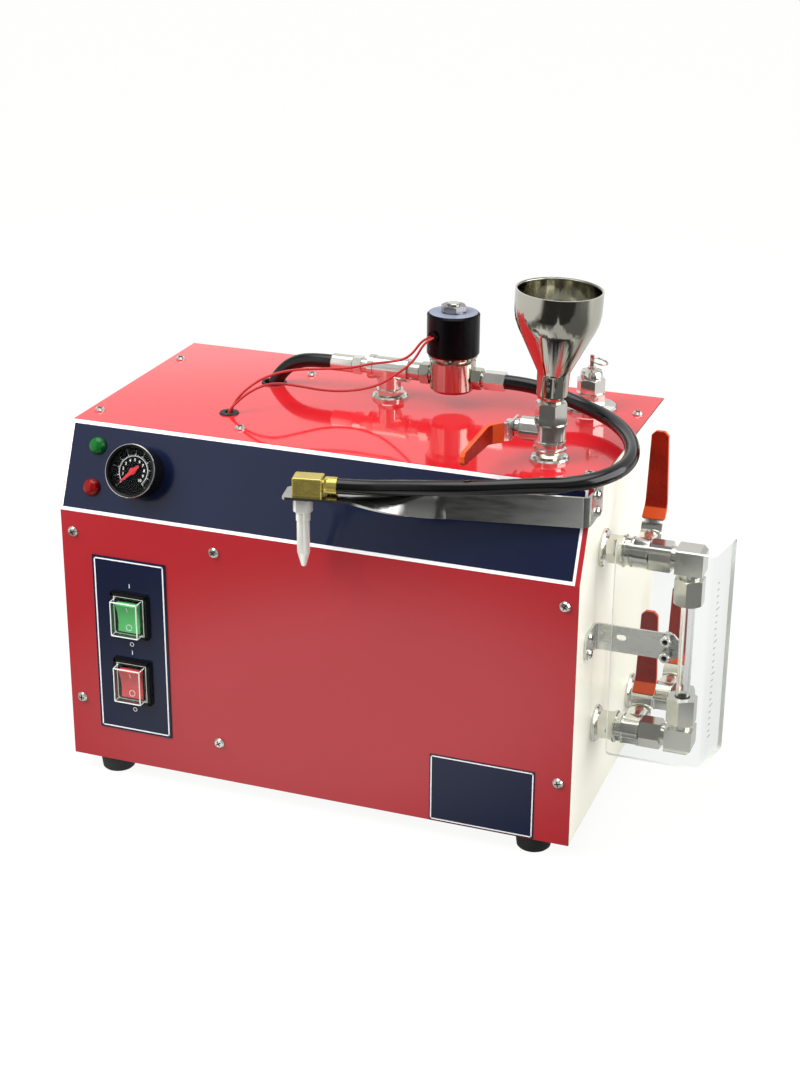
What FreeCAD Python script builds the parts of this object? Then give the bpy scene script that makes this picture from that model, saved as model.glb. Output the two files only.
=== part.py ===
import FreeCAD, Part

import math
import os

# Jewellery steam cleaner: a sheet-steel cabinet round a boiler, with a fill valve and funnel,
# a solenoid steam valve with a hose to a fixed nozzle, a safety valve, a sight glass and a drain.
# Millimetres. X runs along the front, Y to the back, Z up. While modelling, X = 0 is the middle
# of the cabinet, Y = 0 the outer face of the front panel and Z = 0 the cabinet's bottom edge.
# At the end everything moves so that the origin is under the middle of the whole object.

V = FreeCAD.Vector
X_AXIS = V(1, 0, 0)
Y_AXIS = V(0, 1, 0)
Z_AXIS = V(0, 0, 1)

# ---------------------------------------------------------------- driving dimensions: cabinet
cabinet_width = 400.0
cabinet_depth = 234.0
cabinet_height = 267.0
sheet = 1.2                      # steel sheet of every panel
fascia_rise = 63.0               # height that the sloping fascia takes up
fascia_setback = 28.0            # how far the fascia leans back at its top
panel_lip = 17.0                 # folded lip that the panels screw to
tray_rim = 15.0
bulkhead_inset = 125.0           # from the left side to the wall beside the boiler bay
seat_gap = 0.1                   # assembly clearance beside a piece that does not move
run_gap = 0.05                   # radial clearance of a turning or sliding fit
overrun = 1.0                    # how far a cutting tool reaches outside the piece it cuts
wall_foot_gap = 1.0              # between the inner wall's foot and the outer panels' lips
heater_opening_gap = 8.0         # in the inner wall, round the heater's flange

gland_thread_radius = 7.8
gland_thread_length = 10.0
gland_flats = 22.0
gland_hex_height = 5.0
gland_cap_radius = 9.6
gland_cap_length = 8.0
gland_nose_radius = 7.2
gland_nose_length = 3.0
gland_lock_nut_height = 4.0
gland_bore = 3.6
gland_height = 42.0              # of the two lead glands in the rear panel
gland_insets = (50.0, 95.0)      # from the left side

foot_height = 13.0
foot_radius = 14.0
foot_tip_radius = 12.5
foot_edge = 1.0                  # chamfer round the tread
foot_recess_radius = 5.0
foot_recess_depth = 5.0
foot_inset_x = 30.0
foot_inset_y = 15.0

screw_head_radius = 4.0
screw_head_height = 2.4
screw_shank_radius = 1.75
screw_length = 7.0
front_screw_inset = 9.5          # from the cabinet's side to a panel screw
front_screw_drop = 16.0          # from the fascia's foot to the upper panel screws
front_screw_low = 50.0
front_screw_low_mid = 31.6
top_screw_front = 51.0
top_screw_back_inset = 45.0
louvre_width = 44.0
louvre_height = 3.0
louvre_pitch = 8.0
louvre_rows = 9
louvre_bottom = 96.0
louvre_insets = (50.0, 260.0, 330.0)   # middles of the three columns, from the left side

# ---------------------------------------------------------------- driving dimensions: controls
switch_plate_inset = 24.7        # from the cabinet's left side
switch_plate_width = 60.5
switch_plate_height = 144.0
switch_plate_drop = 32.0         # from the fascia's foot
switch_plate_thickness = 1.0
switch_inset = 55.0
pedal_switch_drop = 45.0         # from the switch plate's top
power_switch_drop = 100.0
switch_bezel_width = 32.0
switch_bezel_height = 37.0
switch_bezel_thickness = 2.0
switch_body_width = 25.0
switch_body_height = 31.0
switch_body_depth = 24.0
switch_corner = 2.5
switch_tab_width = 6.2
switch_tab_thickness = 0.8
switch_tab_length = 8.0
switch_tab_columns = 6.0         # terminals, left and right of the switch's middle
switch_tab_rows = 9.0            # and above and below it
rocker_width = 18.0
rocker_height = 23.4
rocker_tilt = 9.0                # degrees either side of level
boot_width = 25.0
boot_height = 31.0
boot_rise = 10.0
boot_wall = 0.8
boot_corner = 3.0
boot_edge = 2.0
boot_flange = 1.2                # how far the boot's foot stands out round its dome
boot_flange_thickness = 1.0
rocker_gap = 0.5                 # between a rocker and the sides of its well
rocker_pivot_depth = 6.0         # from the bezel's face
rocker_pin_radius = 1.5
rocker_pin_length = 1.2
rocker_proud = 3.6               # of the bezel's face, at the rocker's ends
rocker_dish = 2.0                # how much lower its middle is
rocker_swing_gap = 2.6           # between the rocker's ends and its well
rocker_root_depth = 5.0          # behind the pivot
rocker_well_depth = 14.0
rocker_heel = 0.6                # how much longer the rocker is inside its well
rocker_flat = 0.35               # share of the half height that is the dished middle

gauge_inset = 60.5
gauge_off_middle = 1.03          # gauge centre, up the fascia from its middle line
gauge_radius = 20.0
gauge_case_radius = 19.0
gauge_stand_off = 18.0
gauge_wall = 1.0
dial_thickness = 0.8
dial_depth = 6.4                 # from the ring's front face down to the dial
gauge_stem_radius = 6.0
gauge_stem_length = 24.0
gauge_nut_flats = 17.0
gauge_nut_height = 6.0
gauge_ring_height = 3.0
gauge_ring_edge = 0.8
gauge_ring_width = 2.4
gauge_back_thickness = 1.5
gauge_movement_radius = 7.0
gauge_shaft_radius = 0.9
lens_inset = 1.6                 # from the ring's front to the glass
lens_thickness = 1.2
tick_inner = 12.2
tick_outer = 15.2
tick_width = 0.6
tick_depth = 0.25
tick_count = 11
pointer_length = 13.2
pointer_tail = 5.5
pointer_half_width = 1.6         # at its hub
pointer_tail_half_width = 0.9
pointer_thickness = 0.6
pointer_lift = 1.2               # above the dial
pointer_hub_radius = 2.6
pointer_hub_height = 1.3
pointer_shaft_depth = 5.0        # behind the dial
pointer_sweep = 270.0
pointer_zero = 225.0             # degrees, counter-clockwise from the right

lamp_inset = 23.4
green_lamp_off_middle = 16.43
red_lamp_off_middle = -14.67
lamp_radius = 6.6
lamp_rise = 6.0
lamp_neck_radius = 5.0
lamp_rim_height = 1.6
lamp_body_length = 16.0

# ---------------------------------------------------------------- driving dimensions: boiler
tank_side_gap = 9.0              # from the drum to the outer face of the front and rear panels
tank_left_gap = 20.0             # from the drum to the inner wall
tank_right_gap = 16.0            # from the drum to the right side's outer face
tank_drop = 0.5                  # drum axis below the cabinet's mid height
tank_wall = 2.0
tank_knuckle = 10.0
saddle_width = 20.0
saddle_half_depth = 60.0
saddle_insets = (40.0, 60.0)     # from the drum's left and right heads
nipple_radius = 6.5
nipple_bore = 4.5
flange_radius = 14.0
flange_height = 3.0
safety_flange_radius = 20.3
flange_seat_radius = 9.0         # flat recess in a flange's middle
tail_radius = 8.7                # end of a fitting that stands in that recess
heater_flange_radius = 29.0
heater_flange_thickness = 8.0
heater_rod_radius = 4.0
heater_rod_end_gap = 49.0        # from the rods' bend to the drum's right head
heater_rod_spacing = 22.0
heater_terminal_length = 10.0
heater_port_inset = 12.0         # from the flange's edge to the hole in the drum

# ---------------------------------------------------------------- driving dimensions: ball valve
valve_root_gap = 4.0             # from the panel to the body's inlet end
side_valve_lift = 7.0            # extra hexagon between the side panel and a side valve
body_radius = 11.0
body_length = 23.5
bead_radius = 12.0
bead_half = 0.5
bead_flank = 1.0                 # slope on either side of a bead
low_bead = 5.0                   # above the body's inlet end
high_bead = 11.0
high_bead_drop = 0.6             # how much smaller the upper bead is
waist_inset = 0.6                # between the beads
body_edge = 0.8
outlet_collar = 1.2
outlet_collar_drop = 0.4
tail_hexagon_flats = 18.0
tail_hexagon_gap = 1.0           # from the wall flange to a side valve's hexagon
boss_chamfer = 1.2
stem_height = 17.0               # stem axis, measured from the body's inlet end
boss_radius = 9.0
boss_reach = 22.0                # from the pipe axis to the boss's outer face
gland_reach = 25.2               # to the outer face of the stem's gland nut
gland_radius = 6.5
ball_radius = 5.4
ball_bore = 3.2
stem_radius = 3.5
lever_thickness = 1.8
lever_length = 77.0
lever_joggle = 13.0
lever_joggle_start = 9.0         # from the stem axis, along the lever
lever_joggle_end = 22.5
lever_bend = 10.0
lever_back = 8.0                 # from the stem axis to the strap's blunt end
lever_gap = 0.3                  # from the stem's gland nut to the strap
fill_lever_width = 13.4          # at the stem; the levers taper to their tips
fill_lever_tip = 7.8
side_lever_width = 15.0
side_lever_tip = 10.8
sleeve_wall = 0.8
sleeve_start = 14.5
lever_nut_flats = 10.0
lever_nut_height = 5.0
union_nut_flats = 20.0
union_nut_height = 16.0
union_tail_radius = 8.0          # tube that a union nut holds against the valve
drain_bore = 6.0
union_nut_gap = 0.3              # round the nut's corners, where the stem boss passes it
nipple_insertion = 2.0

# ---------------------------------------------------------------- driving dimensions: top fittings
outlet_x = 2.0
outlet_from_back = 74.0
steam_line_height = 23.0         # steam line axis above the top panel
tee_radius = 8.5
tee_half_length = 16.0
tee_bore = 4.0
tee_collar = 0.8                 # how much the collars stand proud of the run
tee_collar_width = 4.0
tee_web_half = 4.5
tee_web_drop = 13.0              # from the run's axis to the web's foot
tee_web_foot = 7.0
lock_ring_flats = 20.0
lock_ring_height = 4.5
outlet_nipple_insertion = 6.0    # top end of the outlet and safety nipples, above the top panel
solenoid_x = 52.7
solenoid_radius = 17.5
solenoid_bottom = 12.3           # above the top panel
solenoid_top = 36.5
solenoid_chamfer = 2.5
yoke_plate_radius = 18.8
yoke_plate_thickness = 1.5
yoke_neck_radius = 13.0
inlet_neck_radius = 6.5
outlet_neck_radius = 6.0
seat_web = 5.0                   # from the valve's axis to the inlet bore's end
seat_lift = 3.0                  # from the steam line to the plunger's foot
coil_radius = 20.0
coil_bottom = 40.5
coil_top = 73.0
core_tube_radius = 6.5
core_tube_wall = 1.4
plunger_length = 30.0
plunger_travel = 3.0
coil_nut_flats = 17.0
coil_nut_height = 5.0
coil_washer_radius = 9.5
coil_washer_thickness = 0.8
coil_edge = 1.4
core_stud_radius = 5.0
core_stud_rise = 1.5             # above the coil's nut
core_roof = 1.5                  # over the plunger's bore
coil_exit_angle = 243.0          # where the two wires leave the coil, seen from above
coil_exit_height = 57.5
coil_exit_radius = 4.5
coil_exit_rise = 2.0
wire_radius = 0.95
wire_spread = 1.6                # each wire's axis from the middle of the pair
wire_entry_inset = 22.0          # from the inner wall to the wires' hole
wire_entry_y = 80.0
grommet_rim = 3.0
grommet_slack = 2.3              # round the hose
grommet_lip = 1.5
grommet_rise = 1.2
port_inset = 21.0                # from the inner wall to the pressure switch's port
port_depth = 17.0                # from the top panel down to the port's end
port_length = 12.0
port_radius = 5.0
port_flats = 14.0
pressure_switch_width = 34.0
pressure_switch_height = 48.0
pressure_switch_depth = 30.0
hose_lean = 1.0                  # the hose's hole is this far to the right of the port
wire_gland_radius = 6.0
wire_gland_mouth = 3.4
wire_gland_length = 10.0
wire_gland_depth = 4.0           # from the top panel down to where the wires are moulded in
port_nut_flats = 15.0
port_nut_length = 7.5
hose_radius = 5.5
ferrule_radius = 6.7
ferrule_length = 17.5
left_hose_stub = 13.5            # nipple and nut between the tee and the left ferrule
hose_nipple_radius = 5.5
hose_nipple_length = 6.0
hose_nut_flats = 13.0
hose_nut_height = 7.0
hose_straight = 16.0             # pressure hose: straight out of its ferrule
hose_turn = 32.0                 # to where it turns down
hose_turn_drop = 3.5
hose_elbow = V(6.5, 0, 10)       # last turn, from the hose's hole
hose_port_rise = 14.5            # straight above its port

fill_inset = 44.0                # from the cabinet's right side
fill_y = 70.0
funnel_mouth_radius = 30.5
funnel_neck_radius = 11.0
funnel_root_radius = 8.0
funnel_wall = 1.2
funnel_height = 80.0             # above the union nut
funnel_shoulder_drop = 21.0      # from the mouth to where the cone ends
funnel_neck_height = 21.0
funnel_gap = 1.0                 # from the union nut to the bowl's foot
funnel_lean = 2.2                # degrees towards the side, from the neck up

safety_inset = 46.9
safety_from_back = 43.4
safety_flats = 19.0
safety_low_hexagon = 9.0
safety_high_hexagon = 11.0
safety_groove = 1.2              # ring between the two hexagons
safety_cap_radius = 8.6
safety_cap_height = 4.5
safety_crown_height = 4.0
safety_guide_radius = 3.4
safety_guide_height = 1.5
safety_chamber_bottom = 13.0     # above the top panel
safety_chamber_height = 12.0
safety_disc_radius = 5.4
safety_disc_thickness = 3.0
safety_disc_gap = 0.5
pull_radius = 1.6
pull_travel = 3.0
pull_eye_height = 39.0           # above the top panel
pull_tab = 2.0                   # thickness of the flat that the ring goes through
pull_tab_half = 2.4              # from the eye to the flat's shoulder
pull_top = 3.0                   # from the eye to the pin's end
pull_ring_radius = 6.0
pull_ring_wire = 0.7
pull_ring_droop = 15.0           # degrees below level

# ---------------------------------------------------------------- driving dimensions: sight glass
gauge_valve_y = 62.0
lower_gauge_drop = 63.0          # from the drum's axis
gauge_valve_spacing = 139.5
drain_from_back = 65.0
drain_drop = 87.0
elbow_size = 18.0
elbow_reach = 13.0               # from the union nut to the elbow's upright axis
glass_radius = 5.0
glass_wall = 1.3
elbow_shoulder = 1.0             # how much longer than its height the elbow is
elbow_chamfer = 3.0
elbow_thread_radius = 7.6
glass_seat_depth = 1.0           # how deep the glass stands in an elbow
glass_slack = 0.6                # round the glass, in a gland nut
gland_nut_flats = 20.0
gland_nut_height = 20.0
gland_gap = 4.0                  # bare thread between an elbow and its gland nut

bracket_thickness = 2.0
guard_bracket_lift = 8.75        # above the middle between the two gauge valves
guard_bracket_height = 20.0
guard_bracket_ahead = 18.0       # in front of the gauge valves' axes
guard_bracket_tab = 25.0
guard_bracket_reach = 62.0
guard_thickness = 3.0
guard_left = 14.0                # from the side panel
guard_right = 83.0
guard_margin = 13.0              # below the lower and above the upper gauge valve's axis
guard_wing = 40.0
guard_wing_angle = 9.0           # degrees outward from square
guard_bend = 4.0
guard_corner = 3.0
guard_hole_reach = 53.5          # from the side panel to the guard's two screws
guard_hole_gap = 12.5            # between them
guard_hole_radius = 2.1
bracket_corner = 4.0
bracket_screw_inset = 17.0       # from the bracket's fold to its panel screws
bracket_slot_reach = 20.5
bracket_slot_lift = 1.5
bracket_slot_radius = 2.2
bracket_slot_half = 1.5
socket_screw_radius = 3.8
socket_screw_height = 3.6
socket_screw_edge = 0.6
socket_screw_shank = 2.0
socket_screw_length = 8.0
socket_flats = 3.8
socket_depth = 2.2
guard_nut_flats = 7.0
guard_nut_height = 3.0

# ---------------------------------------------------------------- driving dimensions: nozzle arm
arm_width = 22.0
arm_drop = 13.0                  # from the top panel to the arm's middle
arm_tab_length = 34.0
arm_root_y = 12.5
nozzle_x = 6.4
arm_nozzle_y = -24.0
arm_tip_reach = 13.4             # from the nozzle's axis to the arm's tip
arm_flat_length = 33.6           # from the nozzle's axis to where the twist ends
arm_twist_length = 65.0
arm_bend = 5.0
arm_screw_inset = 20.0           # from the arm's fold to its panel screws
arm_screw_half_gap = 6.0
arm_tip_corner = 2.0
elbow_block_length = 21.0
elbow_block_size = 13.0
elbow_block_edge = 1.2
elbow_stud_radius = 4.0          # through the arm, into the nozzle
elbow_stud_length = 6.0
elbow_bore = 2.5
elbow_neck_radius = 4.6
elbow_nut_flats = 11.0
elbow_nut_height = 3.0
elbow_nut_gap = 1.0
elbow_socket_radius = 6.3
elbow_socket_length = 7.0
nozzle_length = 53.0
nozzle_bore = 1.2
nozzle_head_radius = 7.0
nozzle_head_length = 11.0
nozzle_head_flats = 11.6
nozzle_collar_radius = 5.2
nozzle_collar_end = 18.0
nozzle_barrel_radius = 4.6
nozzle_barrel_end = 42.0
nozzle_tip_radius = 1.3
nozzle_chamber_end = 40.0

# ---------------------------------------------------------------- worked out from the above
half_width = cabinet_width / 2
side_x = half_width              # outer face of the right side panel
top_z = cabinet_height
back_y = cabinet_depth
fascia_foot_height = cabinet_height - fascia_rise
bulkhead_x = -half_width + bulkhead_inset
switch_x = -half_width + switch_inset
switch_plate_top = fascia_foot_height - switch_plate_drop
pedal_switch_z = switch_plate_top - pedal_switch_drop
power_switch_z = switch_plate_top - power_switch_drop
slope_length = math.hypot(fascia_setback, fascia_rise)
slope_y = fascia_setback / slope_length
slope_z = fascia_rise / slope_length
fascia_up = V(0, slope_y, slope_z)
fascia_out = V(0, -slope_z, slope_y)
gauge_x = -half_width + gauge_inset
gauge_up_slope = slope_length / 2 + gauge_off_middle
lamp_x = -half_width + lamp_inset
green_lamp_up_slope = slope_length / 2 + green_lamp_off_middle
red_lamp_up_slope = slope_length / 2 + red_lamp_off_middle

tank_radius = cabinet_depth / 2 - tank_side_gap
tank_left = bulkhead_x + tank_left_gap
tank_right = side_x - tank_right_gap
tank_y = cabinet_depth / 2
tank_z = cabinet_height / 2 - tank_drop
heater_rod_length = tank_right - tank_left - heater_rod_end_gap

outlet_y = back_y - outlet_from_back
steam_z = top_z + steam_line_height
fill_x = side_x - fill_inset
safety_x = side_x - safety_inset
safety_y = back_y - safety_from_back

lower_gauge_z = tank_z - lower_gauge_drop
upper_gauge_z = lower_gauge_z + gauge_valve_spacing
drain_y = back_y - drain_from_back
drain_z = tank_z - drain_drop
guard_bracket_y = gauge_valve_y - guard_bracket_ahead
guard_bracket_z = (lower_gauge_z + upper_gauge_z) / 2 + guard_bracket_lift
guard_bottom = lower_gauge_z - guard_margin
guard_top = upper_gauge_z + guard_margin
guard_hole_x = side_x + guard_hole_reach
guard_hole_heights = (guard_bracket_z - guard_hole_gap / 2, guard_bracket_z + guard_hole_gap / 2)

lever_plane = gland_reach + lever_gap + lever_thickness / 2      # strap's middle, from the pipe axis

arm_z = top_z - arm_drop
arm_tip_x = nozzle_x - arm_tip_reach
arm_twist_end = nozzle_x + arm_flat_length
arm_twist_start = arm_twist_end + arm_twist_length
arm_seat = side_x + bracket_thickness
arm_top = arm_z + bracket_thickness / 2
elbow_axis_z = arm_top + elbow_block_size / 2
arm_slope = math.atan2(arm_root_y - arm_nozzle_y, arm_seat - nozzle_x)
arm_along = V(math.cos(arm_slope), math.sin(arm_slope), 0)
barb_reach = elbow_block_length - elbow_block_size / 2 + elbow_nut_height + elbow_socket_length
barb_end = V(nozzle_x, arm_nozzle_y, elbow_axis_z) + arm_along * barb_reach

nodes = {}


# ---------------------------------------------------------------- small modelling helpers
def block(x0, x1, y0, y1, z0, z1):
    return Part.makeBox(x1 - x0, y1 - y0, z1 - z0, V(x0, y0, z0))


def rod(base, axis, radius, length):
    return Part.makeCylinder(radius, length, base, axis)


def tube(base, axis, radius, bore, length):
    return rod(base, axis, radius, length).cut(rod(base, axis, bore, length))


def fuse(shapes):
    whole = shapes[0].multiFuse(shapes[1:]) if len(shapes) > 1 else shapes[0]
    return whole.removeSplitter()


def group(shapes):
    solids = [solid for shape in shapes for solid in shape.Solids]
    return Part.makeCompound(solids)


def frame_at(base, axis, across):
    """Placement whose local Z is the axis and whose local X is as near to across as it can be."""
    z_dir = V(axis).normalize()
    y_dir = z_dir.cross(across).normalize()
    x_dir = y_dir.cross(z_dir)
    matrix = FreeCAD.Matrix(
        x_dir.x, y_dir.x, z_dir.x, base.x,
        x_dir.y, y_dir.y, z_dir.y, base.y,
        x_dir.z, y_dir.z, z_dir.z, base.z,
        0, 0, 0, 1)
    return FreeCAD.Placement(matrix)


def placed(shape, placement):
    copy = shape.copy()
    copy.Placement = placement.multiply(copy.Placement)
    return copy


def turned(points):
    """Solid of revolution about local Z from (radius, height) points that start and end on the axis."""
    corners = [V(r, 0, z) for r, z in points]
    face = Part.Face(Part.makePolygon(corners + [corners[0]]))
    return face.revolve(V(0, 0, 0), Z_AXIS, 360)


def hexagon(flats, height, bore=0.0, bottom=0.0, chamfered=True):
    """Hexagon nut or collar standing on local Z = bottom, its corners turned off at both ends."""
    corner = flats / math.sqrt(3)
    points = [V(corner * math.cos(math.radians(60 * i)), corner * math.sin(math.radians(60 * i)), bottom)
              for i in range(7)]
    solid = Part.Face(Part.makePolygon(points)).extrude(V(0, 0, height))
    if chamfered:
        drop = (corner - flats / 2) * 0.6
        envelope = turned([(0, bottom), (flats / 2, bottom), (corner, bottom + drop),
                           (corner, bottom + height - drop), (flats / 2, bottom + height),
                           (0, bottom + height)])
        solid = solid.common(envelope)
    if bore > 0:
        solid = solid.cut(rod(V(0, 0, bottom), Z_AXIS, bore, height))
    return solid


def prism_x(outline, x0, x1):
    """Extrude a closed (y, z) outline along X."""
    points = [V(x0, y, z) for y, z in outline]
    return Part.Face(Part.makePolygon(points + [points[0]])).extrude(V(x1 - x0, 0, 0))


def rounded_plate(width, height, thickness, radius):
    """Plate centred on the origin in local X and Y, rising along Z, with rounded corners."""
    solid = block(-width / 2, width / 2, -height / 2, height / 2, 0, thickness)
    upright = [e for e in solid.Edges if abs(e.tangentAt(e.FirstParameter).z) > 0.9]
    return solid.makeFillet(radius, upright)


def bent_wire(points, radii=None):
    """Straight runs joined by tangent arcs; each arc is 0.45 of its shorter run unless radii says."""
    edges = []
    start = points[0]
    for i in range(1, len(points) - 1):
        before = points[i] - points[i - 1]
        after = points[i + 1] - points[i]
        turn = before.getAngle(after)
        if radii is None:
            setback = 0.45 * min(before.Length, after.Length)
        else:
            setback = radii * math.tan(turn / 2)
        radius = setback / math.tan(turn / 2)
        into = V(before).normalize()
        out = V(after).normalize()
        arc_start = points[i] - into * setback
        arc_end = points[i] + out * setback
        centre = arc_start + (out - into * math.cos(turn)).normalize() * radius
        middle = centre + (points[i] - centre).normalize() * radius
        edges.append(Part.LineSegment(start, arc_start).toShape())
        edges.append(Part.Arc(arc_start, middle, arc_end).toShape())
        start = arc_end
    edges.append(Part.LineSegment(start, points[-1]).toShape())
    return Part.Wire(edges)


def swept_tube(points, radius, bend=None):
    wire = bent_wire(points, bend)
    direction = points[1] - points[0]
    circle = Part.Wire(Part.Circle(points[0], direction, radius).toShape())
    solid = wire.makePipeShell([circle], True, False)
    return solid, wire


def bent_strip_plan(points, thickness, bend):
    """Closed face in plan of a strip of constant thickness along a path of corners, as a wire offset."""
    wire = bent_wire(points, bend)
    near = wire.makeOffset2D(thickness / 2, 0, False, True)
    far = wire.makeOffset2D(-thickness / 2, 0, False, True)
    ends_near = (near.OrderedVertexes[0].Point, near.OrderedVertexes[-1].Point)
    ends_far = (far.OrderedVertexes[0].Point, far.OrderedVertexes[-1].Point)
    if (ends_near[0] - ends_far[0]).Length > (ends_near[0] - ends_far[1]).Length:
        ends_far = (ends_far[1], ends_far[0])
    caps = [Part.LineSegment(ends_near[0], ends_far[0]).toShape(),
            Part.LineSegment(ends_near[1], ends_far[1]).toShape()]
    edges = Part.sortEdges(near.Edges + far.Edges + caps)[0]
    return Part.Face(Part.Wire(edges))


def cord(name, points, radius):
    """Free cord: plain tube, with its bend radii and volume printed for a check."""
    solid, wire = swept_tube(points, radius)
    radii = [e.Curve.Radius for e in wire.Edges if hasattr(e.Curve, "Radius")]
    expected = math.pi * radius ** 2 * wire.Length
    print("%s: length %.1f mm, radii %s, volume ratio %.4f"
          % (name, wire.Length, " ".join("%.0f" % r for r in radii), solid.Volume / expected))
    return solid


# ---------------------------------------------------------------- cabinet
def inner_corner(outer_y, outer_z, depth):
    """Corner of the profile inset by depth from an outer corner of the sloping front."""
    shift = depth * (1 - slope_z) / slope_y
    if outer_z < cabinet_height:
        return depth, outer_z - depth * slope_y + shift * slope_z
    down = depth * (1 - slope_y) / slope_z
    return outer_y + depth * slope_z - down * slope_y, outer_z - depth


def profile(depth, bottom=0.0):
    """Cabinet section in (y, z), inset by depth from the outer skin."""
    low_y, low_z = inner_corner(0, fascia_foot_height, depth)
    high_y, high_z = inner_corner(fascia_setback, cabinet_height, depth)
    return [(depth, bottom), (low_y, low_z), (high_y, high_z),
            (back_y - depth, cabinet_height - depth), (back_y - depth, bottom)]


fascia_low_in = inner_corner(0, fascia_foot_height, sheet)
fascia_high_in = inner_corner(fascia_setback, cabinet_height, sheet)

screw_columns = (-half_width + front_screw_inset, bulkhead_x, half_width - front_screw_inset)
front_screw_high = fascia_foot_height - front_screw_drop
front_screws = [(x, front_screw_high) for x in screw_columns]
front_screws += [(screw_columns[0], front_screw_low), (screw_columns[2], front_screw_low)]
front_screws += [(bulkhead_x, front_screw_low_mid)]
top_screws = [(x, y) for x in screw_columns for y in (top_screw_front, back_y - top_screw_back_inset)]
rear_screws = [(x, z) for x in screw_columns for z in (front_screw_low, front_screw_high)]

panel_screw_places = (
    [(V(x, 0, z), V(0, -1, 0)) for x, z in front_screws]
    + [(V(x, y, top_z), Z_AXIS) for x, y in top_screws]
    + [(V(x, back_y, z), Y_AXIS) for x, z in rear_screws])
side_screw_places = [(V(arm_seat, guard_bracket_y - bracket_screw_inset, z), X_AXIS)
                     for z in guard_hole_heights]
side_screw_places += [(V(arm_seat, arm_root_y + arm_screw_inset, arm_z + dz), X_AXIS)
                      for dz in (-arm_screw_half_gap, arm_screw_half_gap)]
screw_holes = [rod(base + out * overrun, out * -1, screw_shank_radius, screw_length + 2 * overrun)
               for base, out in panel_screw_places]

gland_places = [(-half_width + inset, gland_height) for inset in gland_insets]

# places where fittings pass the skin: (x, y) through the top, (y, z) through the right side
top_fittings = {"outlet": (outlet_x, outlet_y), "fill": (fill_x, fill_y), "safety": (safety_x, safety_y)}
side_fittings = {"upper": (gauge_valve_y, upper_gauge_z), "lower": (gauge_valve_y, lower_gauge_z),
                 "drain": (drain_y, drain_z)}
coil_exit_turn = math.radians(coil_exit_angle)
coil_exit_direction = V(math.cos(coil_exit_turn), math.sin(coil_exit_turn), 0)
pressure_port = V(bulkhead_x - port_inset, outlet_y, top_z - port_depth)
hose_entry = V(pressure_port.x + hose_lean, outlet_y, top_z)
wire_entry = V(bulkhead_x - wire_entry_inset, wire_entry_y, top_z)
nipple_tops = {"outlet": outlet_nipple_insertion, "fill": valve_root_gap + nipple_insertion,
               "safety": outlet_nipple_insertion}


def hole_down(x, y, radius):
    return rod(V(x, y, top_z + overrun), Z_AXIS * -1, radius, 2 * overrun + 4 * sheet)


def hole_in(y, z, radius):
    return rod(V(side_x + overrun, y, z), X_AXIS * -1, radius, 2 * overrun + 4 * sheet)


def on_fascia(x, up_slope):
    return V(x, 0, fascia_foot_height) + fascia_up * up_slope


def switch_opening(z):
    """Opening for a switch's body, through the front panel and the switch plate."""
    half = switch_body_width / 2 + seat_gap
    half_height = switch_body_height / 2 + seat_gap
    return block(switch_x - half, switch_x + half, -switch_plate_thickness - overrun, sheet + overrun,
                 z - half_height, z + half_height)


def screw(base, out):
    """Pan-head screw, its head on the surface at base."""
    shank = screw_shank_radius - seat_gap
    head = turned([(0, -screw_length), (shank, -screw_length), (shank, 0), (screw_head_radius, 0),
                   (screw_head_radius, screw_head_height * 0.35),
                   (screw_head_radius * 0.75, screw_head_height * 0.85), (0, screw_head_height)])
    return placed(head, frame_at(base, out, X_AXIS if abs(out.x) < 0.5 else Y_AXIS))


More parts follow.
